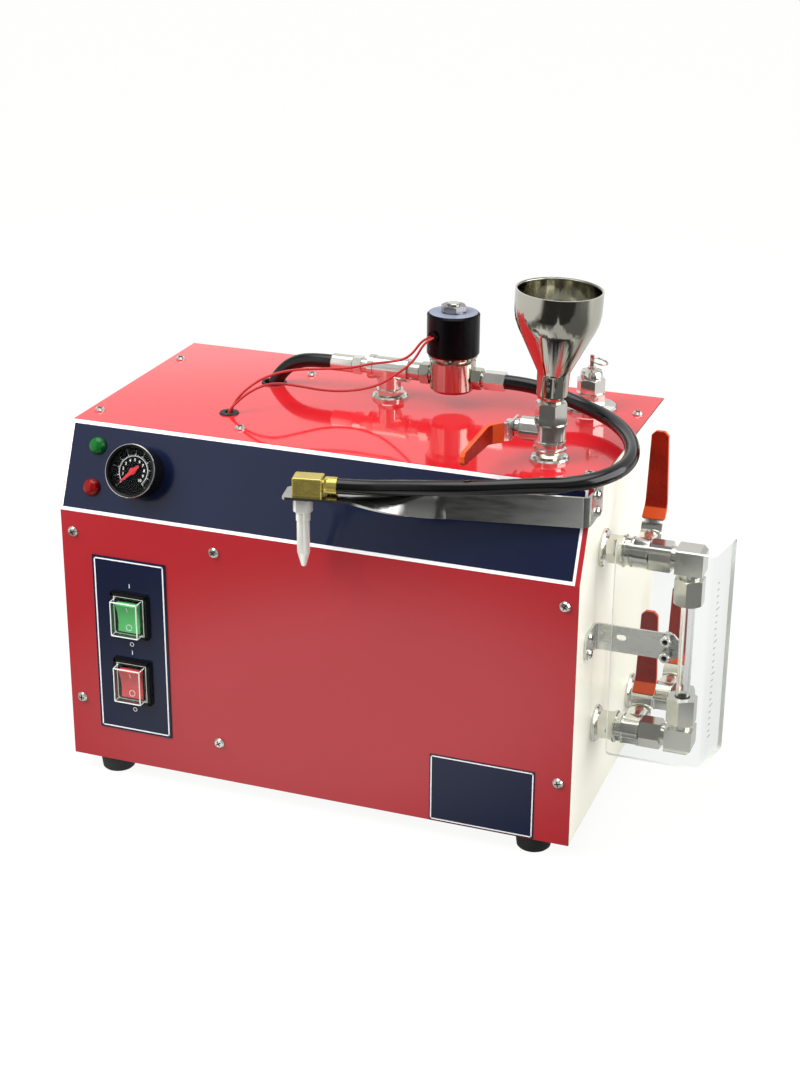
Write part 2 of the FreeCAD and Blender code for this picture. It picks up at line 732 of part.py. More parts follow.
def cabinet():
    x0, x1 = -half_width, half_width
    low_y, low_z = fascia_low_in
    high_y, high_z = fascia_high_in
    front = prism_x([(0, 0), (0, fascia_foot_height), (low_y, low_z), (sheet, 0)], x0, x1)
    fascia = prism_x([(0, fascia_foot_height), (fascia_setback, top_z), (high_y, high_z), (low_y, low_z)],
                     x0, x1)
    top = prism_x([(fascia_setback, top_z), (back_y, top_z), (back_y, top_z - sheet), (high_y, high_z)],
                  x0, x1)
    rear = block(x0, x1, back_y - sheet, back_y, 0, top_z - sheet)

    for z in (pedal_switch_z, power_switch_z):
        front = front.cut(switch_opening(z))
    for x, up, radius in ((gauge_x, gauge_up_slope, gauge_stem_radius),
                          (lamp_x, green_lamp_up_slope, lamp_neck_radius),
                          (lamp_x, red_lamp_up_slope, lamp_neck_radius)):
        fascia = fascia.cut(rod(on_fascia(x, up) + fascia_out * overrun, fascia_out * -1,
                                radius + seat_gap, 2 * sheet + overrun))
    for x, y in top_fittings.values():
        top = top.cut(hole_down(x, y, nipple_radius + 2 * seat_gap))
    top = top.cut(hole_down(hose_entry.x, hose_entry.y, hose_radius + grommet_rim))
    top = top.cut(hole_down(wire_entry.x, wire_entry.y, wire_gland_radius))
    for row in range(louvre_rows):
        z = louvre_bottom + louvre_pitch * row
        for inset in louvre_insets:
            x = -half_width + inset
            rear = rear.cut(block(x - louvre_width / 2, x + louvre_width / 2, back_y - 2 * sheet,
                                  back_y + overrun, z, z + louvre_height))
    for x, z in gland_places:
        rear = rear.cut(rod(V(x, back_y - 2 * sheet, z), Y_AXIS, gland_thread_radius + seat_gap, 3 * sheet))

    sides = {}
    skin = profile(sheet)
    lip_zone = profile(sheet, tray_rim + seat_gap)
    hollow = profile(2 * sheet, tray_rim - overrun)
    for sign, name in ((-1, "left"), (1, "right")):
        outer = sign * half_width
        wall_in = sign * (half_width - sheet)
        lip_in = sign * (half_width - panel_lip)
        plate = prism_x(skin, min(outer, wall_in), max(outer, wall_in))
        lips = prism_x(lip_zone, min(wall_in, lip_in), max(wall_in, lip_in)).cut(
            prism_x(hollow, min(wall_in, lip_in) - overrun, max(wall_in, lip_in) + overrun))
        sides[name] = fuse([plate, lips])
    for y, z in side_fittings.values():
        sides["right"] = sides["right"].cut(hole_in(y, z, nipple_radius + 2 * seat_gap))
    for base, out in side_screw_places:
        sides["right"] = sides["right"].cut(rod(base, out * -1, screw_shank_radius, screw_length))

    wall = prism_x(lip_zone, bulkhead_x, bulkhead_x + sheet)
    lips = prism_x(lip_zone, bulkhead_x - panel_lip / 2, bulkhead_x + panel_lip / 2).cut(
        prism_x(hollow, bulkhead_x - panel_lip, bulkhead_x + panel_lip))
    skirt = block(bulkhead_x, bulkhead_x + sheet, 2 * sheet + wall_foot_gap,
                  back_y - 2 * sheet - wall_foot_gap, sheet, tray_rim + 1)
    wall = fuse([wall, lips, skirt])
    wall = wall.cut(rod(V(bulkhead_x - overrun, tank_y, tank_z), X_AXIS,
                        heater_flange_radius + heater_opening_gap, sheet + 2 * overrun))

    tray = block(x0 + sheet, x1 - sheet, sheet, back_y - sheet, 0, tray_rim)
    tray = tray.cut(block(x0 + 2 * sheet, x1 - 2 * sheet, 2 * sheet, back_y - 2 * sheet,
                          sheet, tray_rim + overrun))

    def drilled(shape):
        return shape.cut(Part.makeCompound(screw_holes))

    nodes["front_panel"] = drilled(front)
    nodes["fascia_panel"] = fascia
    nodes["top_panel"] = drilled(top)
    nodes["rear_panel"] = drilled(rear)
    nodes["side_panel_left"] = drilled(sides["left"])
    nodes["side_panel_right"] = drilled(sides["right"])
    nodes["bulkhead"] = drilled(wall)
    nodes["base_tray"] = tray
    nodes["panel_screws"] = group([screw(base, out) for base, out in panel_screw_places])

    foot = turned([(0, -foot_height), (foot_tip_radius - foot_edge, -foot_height),
                   (foot_tip_radius, -foot_height + foot_edge), (foot_radius, 0), (0, 0)])
    foot = foot.cut(rod(V(0, 0, -foot_height), Z_AXIS, foot_recess_radius, foot_recess_depth))
    nodes["rubber_feet"] = group([
        placed(foot, FreeCAD.Placement(V(x, y, 0), FreeCAD.Rotation()))
        for x in (-half_width + foot_inset_x, half_width - foot_inset_x)
        for y in (foot_inset_y, back_y - foot_inset_y)])


# ---------------------------------------------------------------- rear glands for mains and pedal leads
def cable_glands():
    """Two cable glands: collar and clamping cap outside the panel, lock nut inside."""
    glands = []
    for x, z in gland_places:
        cap_top = gland_hex_height + gland_cap_length
        nose_top = cap_top + gland_nose_length
        body = fuse([rod(V(0, 0, -gland_thread_length), Z_AXIS, gland_thread_radius, gland_thread_length),
                     hexagon(gland_flats, gland_hex_height),
                     turned([(0, gland_hex_height), (gland_cap_radius, gland_hex_height),
                             (gland_cap_radius, cap_top), (gland_nose_radius, nose_top), (0, nose_top)])])
        body = body.cut(rod(V(0, 0, -gland_thread_length), Z_AXIS, gland_bore,
                            gland_thread_length + nose_top))
        lock_nut = hexagon(gland_flats, gland_lock_nut_height, gland_thread_radius + seat_gap,
                           -sheet - gland_lock_nut_height)
        seat = frame_at(V(x, back_y, z), Y_AXIS, X_AXIS)
        glands += [placed(body, seat), placed(lock_nut, seat)]
    nodes["cable_glands"] = group(glands)


# ---------------------------------------------------------------- switches
def switches():
    plate_left = -half_width + switch_plate_inset
    plate = block(plate_left, plate_left + switch_plate_width, -switch_plate_thickness, 0,
                  switch_plate_top - switch_plate_height, switch_plate_top)
    housings = []
    boots = []
    face = -switch_plate_thickness                      # Y of the plate's face, which the bezels sit on
    front = face - switch_bezel_thickness
    pivot_y = front + rocker_pivot_depth
    well_half_width = rocker_width / 2 + rocker_gap
    well_half_height = rocker_height / 2 + rocker_swing_gap
    pin_length = rocker_width + 2 * rocker_pin_length
    rocker_nodes = (("pedal_rocker", pedal_switch_z), ("power_rocker", power_switch_z))
    for name, z in rocker_nodes:
        plate = plate.cut(switch_opening(z))
        bezel = placed(rounded_plate(switch_bezel_width, switch_bezel_height, switch_bezel_thickness,
                                     switch_corner),
                       frame_at(V(switch_x, face, z), V(0, -1, 0), X_AXIS))
        body = block(switch_x - switch_body_width / 2, switch_x + switch_body_width / 2,
                     face, face + switch_body_depth, z - switch_body_height / 2, z + switch_body_height / 2)
        well = block(switch_x - well_half_width, switch_x + well_half_width, front - overrun,
                     face + rocker_well_depth, z - well_half_height, z + well_half_height)
        pin_bore = rod(V(switch_x - pin_length / 2 - rocker_gap, pivot_y, z), X_AXIS,
                       rocker_pin_radius + run_gap, pin_length + 2 * rocker_gap)
        back = face + switch_body_depth
        tabs = [block(x - switch_tab_thickness / 2, x + switch_tab_thickness / 2, back,
                      back + switch_tab_length, row - switch_tab_width / 2, row + switch_tab_width / 2)
                for x in (switch_x - switch_tab_columns, switch_x + switch_tab_columns)
                for row in (z - switch_tab_rows, z + switch_tab_rows)]
        housings.append(fuse([bezel, body] + tabs).cut(well).cut(pin_bore))

        half = rocker_height / 2
        crest = front - rocker_proud
        root = pivot_y + rocker_root_depth
        dish = crest + rocker_dish
        heel_y = front + rocker_heel
        outline = [(crest, -half), (dish, -half * rocker_flat), (dish, half * rocker_flat),
                   (crest, half), (heel_y, half + rocker_heel), (root, half / 2),
                   (root, -half / 2), (heel_y, -half - rocker_heel)]
        points = [V(switch_x - rocker_width / 2, y, z + dz) for y, dz in outline]
        body = Part.Face(Part.makePolygon(points + [points[0]])).extrude(V(rocker_width, 0, 0))
        pins = rod(V(switch_x - pin_length / 2, pivot_y, z), X_AXIS, rocker_pin_radius, pin_length)
        rocker = fuse([body, pins])
        rocker.rotate(V(switch_x, pivot_y, z), X_AXIS, rocker_tilt)
        nodes[name] = rocker

        flange = placed(rounded_plate(boot_width, boot_height, boot_flange_thickness, boot_edge),
                        frame_at(V(switch_x, front, z), V(0, -1, 0), X_AXIS))
        dome_width = boot_width - 2 * boot_flange
        dome_height = boot_height - 2 * boot_flange
        dome = placed(rounded_plate(dome_width, dome_height, boot_rise, boot_corner),
                      frame_at(V(switch_x, front, z), V(0, -1, 0), X_AXIS))
        rim = [e for e in dome.Edges if e.BoundBox.YMax < front - boot_rise + 0.01]
        dome = dome.makeFillet(boot_edge, rim)
        hollow = placed(rounded_plate(dome_width - 2 * boot_wall, dome_height - 2 * boot_wall,
                                      boot_rise - boot_wall, boot_corner - boot_wall),
                        frame_at(V(switch_x, front, z), V(0, -1, 0), X_AXIS))
        rim = [e for e in hollow.Edges if e.BoundBox.YMax < front - boot_rise + boot_wall + 0.01]
        hollow = hollow.makeFillet(boot_edge - boot_wall, rim)
        boots.append(fuse([flange, dome]).cut(hollow))
    nodes["switch_plate"] = plate
    nodes["switch_housings"] = group(housings)
    nodes["switch_boots"] = group(boots)


# ---------------------------------------------------------------- pressure gauge and lamps
def pressure_gauge():
    """Case with its clamp nut, dial, pointer on its shaft, and glass, square to the fascia."""
    seat = frame_at(on_fascia(gauge_x, gauge_up_slope), fascia_out, X_AXIS)
    front = gauge_stand_off
    dial_top = front - dial_depth
    dial_back = dial_top - dial_thickness
    inner = gauge_case_radius - gauge_wall
    lens_front = front - lens_inset
    ring_inner = gauge_radius - gauge_ring_width
    case = turned([(0, -gauge_stem_length), (gauge_stem_radius - 1, -gauge_stem_length),
                   (gauge_stem_radius, -gauge_stem_length + 1), (gauge_stem_radius, 0),
                   (gauge_case_radius, 0), (gauge_case_radius, front - gauge_ring_height - 1),
                   (gauge_radius, front - gauge_ring_height), (gauge_radius, front - gauge_ring_edge),
                   (gauge_radius - gauge_ring_edge, front), (ring_inner, front - gauge_ring_edge),
                   (ring_inner, lens_front), (inner, lens_front), (inner, gauge_back_thickness),
                   (gauge_movement_radius, gauge_back_thickness), (gauge_movement_radius, dial_back),
                   (0, dial_back)])
    case = case.cut(rod(V(0, 0, dial_back - pointer_shaft_depth - overrun), Z_AXIS,
                        gauge_shaft_radius + run_gap, gauge_stand_off))
    clamp_nut = hexagon(gauge_nut_flats, gauge_nut_height, gauge_stem_radius + seat_gap,
                        -sheet - gauge_nut_height)
    dial = tube(V(0, 0, dial_back), Z_AXIS, inner - seat_gap, gauge_shaft_radius * 1.7, dial_thickness)
    tick = block(tick_inner, tick_outer, -tick_width / 2, tick_width / 2, dial_top - tick_depth,
                 dial_top + overrun)
    for i in range(tick_count):
        mark = tick.copy()
        mark.rotate(V(0, 0, 0), Z_AXIS, pointer_zero - pointer_sweep * i / (tick_count - 1))
        dial = dial.cut(mark)

    shoulder = pointer_length * 0.83
    half_plan = [V(-pointer_tail, pointer_tail_half_width, 0), V(0, pointer_half_width, 0),
                 V(shoulder, pointer_thickness, 0), V(pointer_length, 0, 0)]
    plan = half_plan + [V(point.x, -point.y, 0) for point in reversed(half_plan[:-1])]
    blade = Part.Face(Part.makePolygon(plan + [plan[0]])).extrude(V(0, 0, pointer_thickness))
    blade.translate(V(0, 0, dial_top + pointer_lift))
    hub_bottom = dial_top + pointer_lift - pointer_thickness / 2
    shaft_bottom = dial_back - pointer_shaft_depth
    pointer = fuse([blade, rod(V(0, 0, hub_bottom), Z_AXIS, pointer_hub_radius, pointer_hub_height),
                    rod(V(0, 0, shaft_bottom), Z_AXIS, gauge_shaft_radius, hub_bottom + 0.5 - shaft_bottom)])
    pointer.rotate(V(0, 0, 0), Z_AXIS, pointer_zero)
    lens = rod(V(0, 0, lens_front - lens_thickness), Z_AXIS, inner - seat_gap, lens_thickness)
    nodes["gauge_case"] = group([placed(case, seat), placed(clamp_nut, seat)])
    nodes["gauge_dial"] = placed(dial, seat)
    nodes["gauge_pointer"] = placed(pointer, seat)
    nodes["gauge_lens"] = placed(lens, seat)


def lamps():
    lamp = turned([(0, -lamp_body_length), (lamp_neck_radius - 1, -lamp_body_length),
                   (lamp_neck_radius, -lamp_body_length + 2), (lamp_neck_radius, 0), (lamp_radius, 0),
                   (lamp_radius, lamp_rim_height), (lamp_radius * 0.91, lamp_rise * 0.5),
                   (lamp_radius * 0.78, lamp_rise * 0.75), (lamp_radius * 0.45, lamp_rise * 0.95),
                   (0, lamp_rise)])
    for name, up in (("lamp_green", green_lamp_up_slope), ("lamp_red", red_lamp_up_slope)):
        nodes[name] = placed(lamp, frame_at(on_fascia(lamp_x, up), fascia_out, X_AXIS))


# ---------------------------------------------------------------- boiler
def tank_solid(inset):
    """Horizontal drum with knuckled heads, shrunk all round by inset."""
    radius = tank_radius - inset
    length = tank_right - tank_left - 2 * inset
    knuckle = tank_knuckle
    drum = turned([(0, 0), (radius - knuckle, 0), (radius - knuckle * 0.3, knuckle * 0.3), (radius, knuckle),
                   (radius, length - knuckle), (radius - knuckle * 0.3, length - knuckle * 0.3),
                   (radius - knuckle, length), (0, length)])
    return placed(drum, frame_at(V(tank_left + inset, tank_y, tank_z), X_AXIS, Y_AXIS))


def wall_flange(radius):
    """Turned flange on the cabinet's skin round a fitting, dished in the middle to take its end."""
    recess = flange_height - 1.4
    return turned([(nipple_radius + seat_gap, 0), (radius, 0), (radius, flange_height - 1.2),
                   (radius - 1.0, flange_height), (flange_seat_radius + 1.6, flange_height - 0.4),
                   (flange_seat_radius, recess), (nipple_radius + seat_gap, recess)])


def boiler():
    outside = tank_solid(0)
    inside = tank_solid(tank_wall)
    saddles = []
    for x in (tank_left + saddle_insets[0], tank_right - saddle_insets[1]):
        saddle = block(x, x + saddle_width, tank_y - saddle_half_depth, tank_y + saddle_half_depth,
                       sheet, tank_z)
        saddles.append(saddle.cut(outside))
    tank = fuse([outside] + saddles).cut(inside)
    nipples = []
    flanges = []
    for name, (x, y) in top_fittings.items():
        low = V(x, y, tank_z)
        reach = top_z + nipple_tops[name] - tank_z
        nipples.append(tube(low, Z_AXIS, nipple_radius, nipple_bore, reach).cut(outside))
        tank = tank.cut(rod(low, Z_AXIS, nipple_bore, reach))
        radius = safety_flange_radius if name == "safety" else flange_radius
        flanges.append(placed(wall_flange(radius), frame_at(V(x, y, top_z), Z_AXIS, X_AXIS)))
    for name, (y, z) in side_fittings.items():
        low = V(tank_right - 20, y, z)
        reach = side_x + nipple_tops["fill"] + side_valve_lift - low.x
        nipples.append(tube(low, X_AXIS, nipple_radius, nipple_bore, reach).cut(outside))
        tank = tank.cut(rod(low, X_AXIS, nipple_bore, reach))
        flanges.append(placed(wall_flange(flange_radius), frame_at(V(side_x, y, z), X_AXIS, Y_AXIS)))
    seat = frame_at(V(tank_left, tank_y, tank_z), X_AXIS * -1, Y_AXIS)
    port = rod(V(tank_left - overrun, tank_y, tank_z), X_AXIS, heater_flange_radius - heater_port_inset,
               tank_wall + 2 * overrun)
    nodes["boiler_tank"] = tank.cut(port)
    nodes["tank_nipples"] = group(nipples)
    nodes["panel_flanges"] = group(flanges)

    plate = turned([(0, 0), (heater_flange_radius, 0), (heater_flange_radius, heater_flange_thickness),
                    (0, heater_flange_thickness)])
    rods = []
    for dx in (-heater_rod_spacing / 2, heater_rod_spacing / 2):
        rods.append(rod(V(dx, 0, -heater_rod_length), Z_AXIS, heater_rod_radius,
                        heater_rod_length + heater_flange_thickness + heater_terminal_length))
    link = rod(V(-heater_rod_spacing / 2, 0, -heater_rod_length + heater_rod_radius), X_AXIS,
               heater_rod_radius, heater_rod_spacing)
    heater = fuse([plate, link] + rods)
    nodes["heating_element"] = placed(heater, seat)


# ---------------------------------------------------------------- ball valves
# Local frame of a valve: pipe axis along Z from the panel, stem towards -X, closed lever towards -Y.
def valve_body(lift):
    """Forged body with its beads, stem boss, ball chamber and the hexagon tail of a side valve."""
    root = valve_root_gap + lift
    top = root + body_length
    stem_z = root + stem_height
    waist = body_radius - waist_inset
    small_bead = bead_radius - high_bead_drop
    collar = bead_radius - outlet_collar_drop
    bead_end = bead_half + bead_flank
    outer = turned([(0, root), (body_radius - body_edge, root),
                    (body_radius, root + low_bead - 2 * bead_flank),
                    (bead_radius, root + low_bead - bead_half), (bead_radius, root + low_bead + bead_half),
                    (waist, root + low_bead + bead_end), (waist, root + high_bead - bead_end),
                    (small_bead, root + high_bead - bead_half), (small_bead, root + high_bead + bead_half),
                    (body_radius, root + high_bead + bead_end), (body_radius, top - outlet_collar - 0.3),
                    (collar, top - outlet_collar), (collar, top), (0, top)])
    boss = rod(V(0, 0, stem_z), X_AXIS * -1, boss_radius, boss_reach)
    edge = [e for e in boss.Edges if e.BoundBox.XMax < -boss_reach + 0.01]
    boss = boss.makeChamfer(boss_chamfer, edge)
    parts = [outer, boss, rod(V(0, 0, stem_z), X_AXIS * -1, gland_radius, gland_reach)]
    if lift > 0:
        hex_bottom = flange_height + tail_hexagon_gap
        parts.append(hexagon(tail_hexagon_flats, root - hex_bottom, 0, hex_bottom))
        parts.append(rod(V(0, 0, flange_height - 1.4), Z_AXIS, tail_radius, root))
    body = fuse(parts)
    body = body.cut(rod(V(0, 0, 0), Z_AXIS, nipple_radius + seat_gap, root + nipple_insertion))
    body = body.cut(rod(V(0, 0, root), Z_AXIS, ball_bore, body_length + overrun))
    body = body.cut(Part.makeSphere(ball_radius + run_gap, V(0, 0, stem_z)))
    body = body.cut(rod(V(0, 0, stem_z), X_AXIS * -1, stem_radius + run_gap, gland_reach + overrun))
    nut_corner = union_nut_flats / math.sqrt(3) + union_nut_gap
    return body.cut(rod(V(0, 0, top), Z_AXIS, nut_corner, boss_radius))


def strap(thickness, width_root, width_tip, start, end):
    """Jogged lever strap of a given thickness, cut to a tapering plan between start and end."""
    out = lever_plane + lever_joggle
    path = [V(-lever_plane, lever_back, 0), V(-lever_plane, -lever_joggle_start, 0),
            V(-out, -lever_joggle_end, 0), V(-out, -end, 0)]
    form = bent_strip_plan(path, thickness, lever_bend).extrude(V(0, 0, 2 * width_root))
    form.translate(V(0, 0, -width_root))
    tip = width_tip / 2
    root = width_root / 2
    corner = tip * 0.5
    plan = [V(0, -start, -root), V(0, -start, root), V(0, -lever_joggle_start, root),
            V(0, -(end - corner), tip), V(0, -end, tip - corner), V(0, -end, -tip + corner),
            V(0, -(end - corner), -tip), V(0, -lever_joggle_start, -root)]
    if start > lever_joggle_start:
        plan = plan[:2] + plan[3:7]
    mask = Part.Face(Part.makePolygon(plan + [plan[0]])).extrude(V(-(out + width_root), 0, 0))
    return form.common(mask)


def valve_lever(width, tip_width):
    """Ball and stem, strap and nut, all turning together about the stem."""
    half = lever_thickness / 2
    outer_face = lever_plane + half
    across = stem_radius * 0.78
    stem = fuse([Part.makeSphere(ball_radius, V(0, 0, 0)),
                 rod(V(0, 0, 0), X_AXIS * -1, stem_radius, outer_face + lever_nut_height + 1.0)])
    stem = stem.cut(rod(V(0, -ball_radius, 0), Y_AXIS, ball_bore, 2 * ball_radius))
    flat = block(-outer_face, -(outer_face - lever_thickness), -stem_radius, stem_radius, across, stem_radius)
    stem = stem.cut(flat).cut(flat.mirror(V(0, 0, 0), Z_AXIS))
    plate = strap(lever_thickness, width, tip_width, -lever_back, lever_length)
    slot = rod(V(0, 0, 0), X_AXIS * -1, stem_radius, 2 * outer_face)
    plate = plate.cut(slot.common(block(-2 * outer_face, 0, -lever_back, lever_back, -across, across)))
    nut = placed(hexagon(lever_nut_flats, lever_nut_height, stem_radius),
                 frame_at(V(-outer_face, 0, 0), X_AXIS * -1, Y_AXIS))
    return group([stem, plate, nut])


def lever_sleeve(width, tip_width):
    """Dipped plastic grip over the strap, closed at its tip."""
    wall = sleeve_wall
    outer = strap(lever_thickness + 2 * wall, width + 2 * wall, tip_width + 2 * wall,
                  sleeve_start, lever_length + wall)
    core = strap(lever_thickness + seat_gap, width, tip_width + seat_gap, -lever_back, lever_length)
    return outer.cut(core)


valves = {
    "fill": (V(fill_x, fill_y, top_z), Z_AXIS, X_AXIS, 0.0),
    "upper_gauge": (V(side_x, gauge_valve_y, upper_gauge_z), X_AXIS, Y_AXIS * -1, side_valve_lift),
    "lower_gauge": (V(side_x, gauge_valve_y, lower_gauge_z), X_AXIS, Y_AXIS * -1, side_valve_lift),
    "drain": (V(side_x, drain_y, drain_z), X_AXIS, Y_AXIS * -1, side_valve_lift),
}


def ball_valves():
    bodies = []
    nuts = []
    nut = hexagon(union_nut_flats, union_nut_height)
    for name, (base, axis, across, lift) in valves.items():
        seat = frame_at(base, axis, across)
        stem_z = valve_root_gap + lift + stem_height
        top = valve_root_gap + lift + body_length
        bodies.append(placed(valve_body(lift), seat))
        up = seat.multiply(FreeCAD.Placement(V(0, 0, stem_z), FreeCAD.Rotation()))
        width, tip = (side_lever_width, side_lever_tip) if lift else (fill_lever_width, fill_lever_tip)
        nodes[name + "_lever"] = placed(valve_lever(width, tip), up)
        nodes[name + "_lever_sleeve"] = placed(lever_sleeve(width, tip), up)
        above = seat.multiply(FreeCAD.Placement(V(0, 0, top), FreeCAD.Rotation()))
        bored = drain_bore if name == "drain" else union_tail_radius + seat_gap
        nuts.append(placed(nut.cut(rod(V(0, 0, 0), Z_AXIS, bored, union_nut_height)), above))
    nodes["valve_bodies"] = group(bodies)
    return nuts


# ---------------------------------------------------------------- funnel
def funnel():
    """Thin spun funnel: straight tail in the union nut, neck, cone and a straight mouth."""
    tail_foot = top_z + valve_root_gap + body_length
    root = tail_foot + union_nut_height + funnel_gap
    tail = tube(V(0, 0, tail_foot), Z_AXIS, union_tail_radius, union_tail_radius - funnel_wall,
                root + 1.0 - tail_foot)

    def spun(inset, low, high):
        shoulder = funnel_height - funnel_shoulder_drop
        return turned([(0, low), (union_tail_radius - inset, low), (union_tail_radius - inset, 0.3),
                       (funnel_neck_radius - 1.0 - inset, 1.6), (funnel_neck_radius - inset, 4.5),
                       (funnel_neck_radius + 0.6 - inset, funnel_neck_height),
                       (funnel_mouth_radius - 3.4 - inset, shoulder - 7.0),
                       (funnel_mouth_radius - 1.2 - inset, shoulder - 1.0),
                       (funnel_mouth_radius - 0.2 - inset, shoulder + 5.0),
                       (funnel_mouth_radius - inset, funnel_height - 9.0),
                       (funnel_mouth_radius - inset, high), (0, high)])

    cup = spun(0, 0, funnel_height).cut(spun(funnel_wall, -1.0, funnel_height + 1.0))
    cup.rotate(V(0, 0, 0), Y_AXIS, funnel_lean)
    cup.translate(V(0, 0, root))
    bore = rod(V(0, 0, tail_foot), Z_AXIS, union_tail_radius - funnel_wall, root + 2.0 - tail_foot)
    shell = fuse([tail, cup]).cut(bore)
    shell.translate(V(fill_x, fill_y, 0))
    nodes["funnel"] = shell


# ---------------------------------------------------------------- safety valve
def safety_valve():
    """Body in two hexagons and a cap, the pulled disc with its pin, and the ring through the pin."""
    low = flange_height - 1.4
    groove = flange_height + safety_low_hexagon
    high = groove + safety_groove
    cap = high + safety_high_hexagon - 1.2
    crown = cap + safety_cap_height
    guide = crown + safety_crown_height
    top = guide + safety_guide_height
    body = fuse([rod(V(0, 0, low), Z_AXIS, tail_radius, 2.0),
                 hexagon(safety_flats, safety_low_hexagon, 0, flange_height + 0.2),
                 rod(V(0, 0, groove), Z_AXIS, safety_flats / math.sqrt(3), safety_groove),
                 hexagon(safety_flats, safety_high_hexagon, 0, high),
                 turned([(0, cap), (safety_cap_radius, cap), (safety_cap_radius, crown),
                         (safety_cap_radius - 1.0, crown + 2.5), (safety_guide_radius, guide),
                         (safety_guide_radius, top), (0, top)])])
    body = body.cut(rod(V(0, 0, 0), Z_AXIS, nipple_radius + seat_gap, nipple_tops["safety"]))
    body = body.cut(rod(V(0, 0, 0), Z_AXIS, nipple_bore, safety_chamber_bottom + overrun))
    body = body.cut(rod(V(0, 0, safety_chamber_bottom), Z_AXIS, safety_disc_radius + safety_disc_gap,
                        safety_chamber_height))
    body = body.cut(rod(V(0, 0, safety_chamber_bottom), Z_AXIS, pull_radius + run_gap,
                        top + overrun - safety_chamber_bottom))
    pull = fuse([rod(V(0, 0, safety_chamber_bottom), Z_AXIS, safety_disc_radius, safety_disc_thickness),
                 rod(V(0, 0, safety_chamber_bottom), Z_AXIS, pull_radius,
                     pull_eye_height + pull_top - safety_chamber_bottom)])
    for near in (pull_tab / 2, -pull_tab / 2 - pull_radius):
        pull = pull.cut(block(-pull_radius, pull_radius, near, near + pull_radius,
                              pull_eye_height - pull_tab_half, pull_eye_height + pull_top))
    pull = pull.cut(rod(V(0, -pull_tab, pull_eye_height), Y_AXIS, pull_ring_wire + 0.2, 2 * pull_tab))
    ring = Part.makeTorus(pull_ring_radius, pull_ring_wire)
    ring.translate(V(pull_ring_radius, 0, pull_eye_height))
    ring.rotate(V(0, 0, pull_eye_height), Y_AXIS, pull_ring_droop)
    base = V(safety_x, safety_y, top_z)
    for shape in (body, pull, ring):
        shape.translate(base)
    nodes["safety_valve"] = body
    nodes["safety_pull"] = pull
    nodes["pull_ring"] = ring


# ---------------------------------------------------------------- steam line on the top panel
def steam_tee():
    """Outlet tee on the tank's nipple, with the lock ring under it."""
    low = top_z + flange_height - 1.4
    left = outlet_x - tee_half_length
    right = outlet_x + tee_half_length
    foot_z = steam_z - tee_web_drop
    riser = fuse([rod(V(outlet_x, outlet_y, low), Z_AXIS, tail_radius, steam_z - low),
                  rod(V(left, outlet_y, steam_z), X_AXIS, tee_radius, 2 * tee_half_length)])
    web = [V(left + 3, outlet_y - tee_web_half, steam_z), V(right - 3, outlet_y - tee_web_half, steam_z),
           V(outlet_x + tee_web_foot, outlet_y - tee_web_half, foot_z),
           V(outlet_x - tee_web_foot, outlet_y - tee_web_half, foot_z)]
    gusset = Part.Face(Part.makePolygon(web + [web[0]])).extrude(V(0, 2 * tee_web_half, 0))
    collars = [rod(V(x, outlet_y, steam_z), X_AXIS, tee_radius + tee_collar, tee_collar_width)
               for x in (left, right - tee_collar_width)]
    tee = fuse([riser, gusset] + collars)
    tee = tee.cut(rod(V(outlet_x, outlet_y, low - overrun), Z_AXIS, nipple_radius + seat_gap,
                      nipple_tops["outlet"] + 2))
    tee = tee.cut(rod(V(outlet_x, outlet_y, low), Z_AXIS, tee_bore, steam_z - low))
    tee = tee.cut(rod(V(left, outlet_y, steam_z), X_AXIS, tee_bore, 2 * tee_half_length))
    lock_ring = hexagon(lock_ring_flats, lock_ring_height, tail_radius + seat_gap)
    lock_ring.translate(V(outlet_x, outlet_y, top_z + flange_height))
    nodes["steam_tee"] = group([tee, lock_ring])


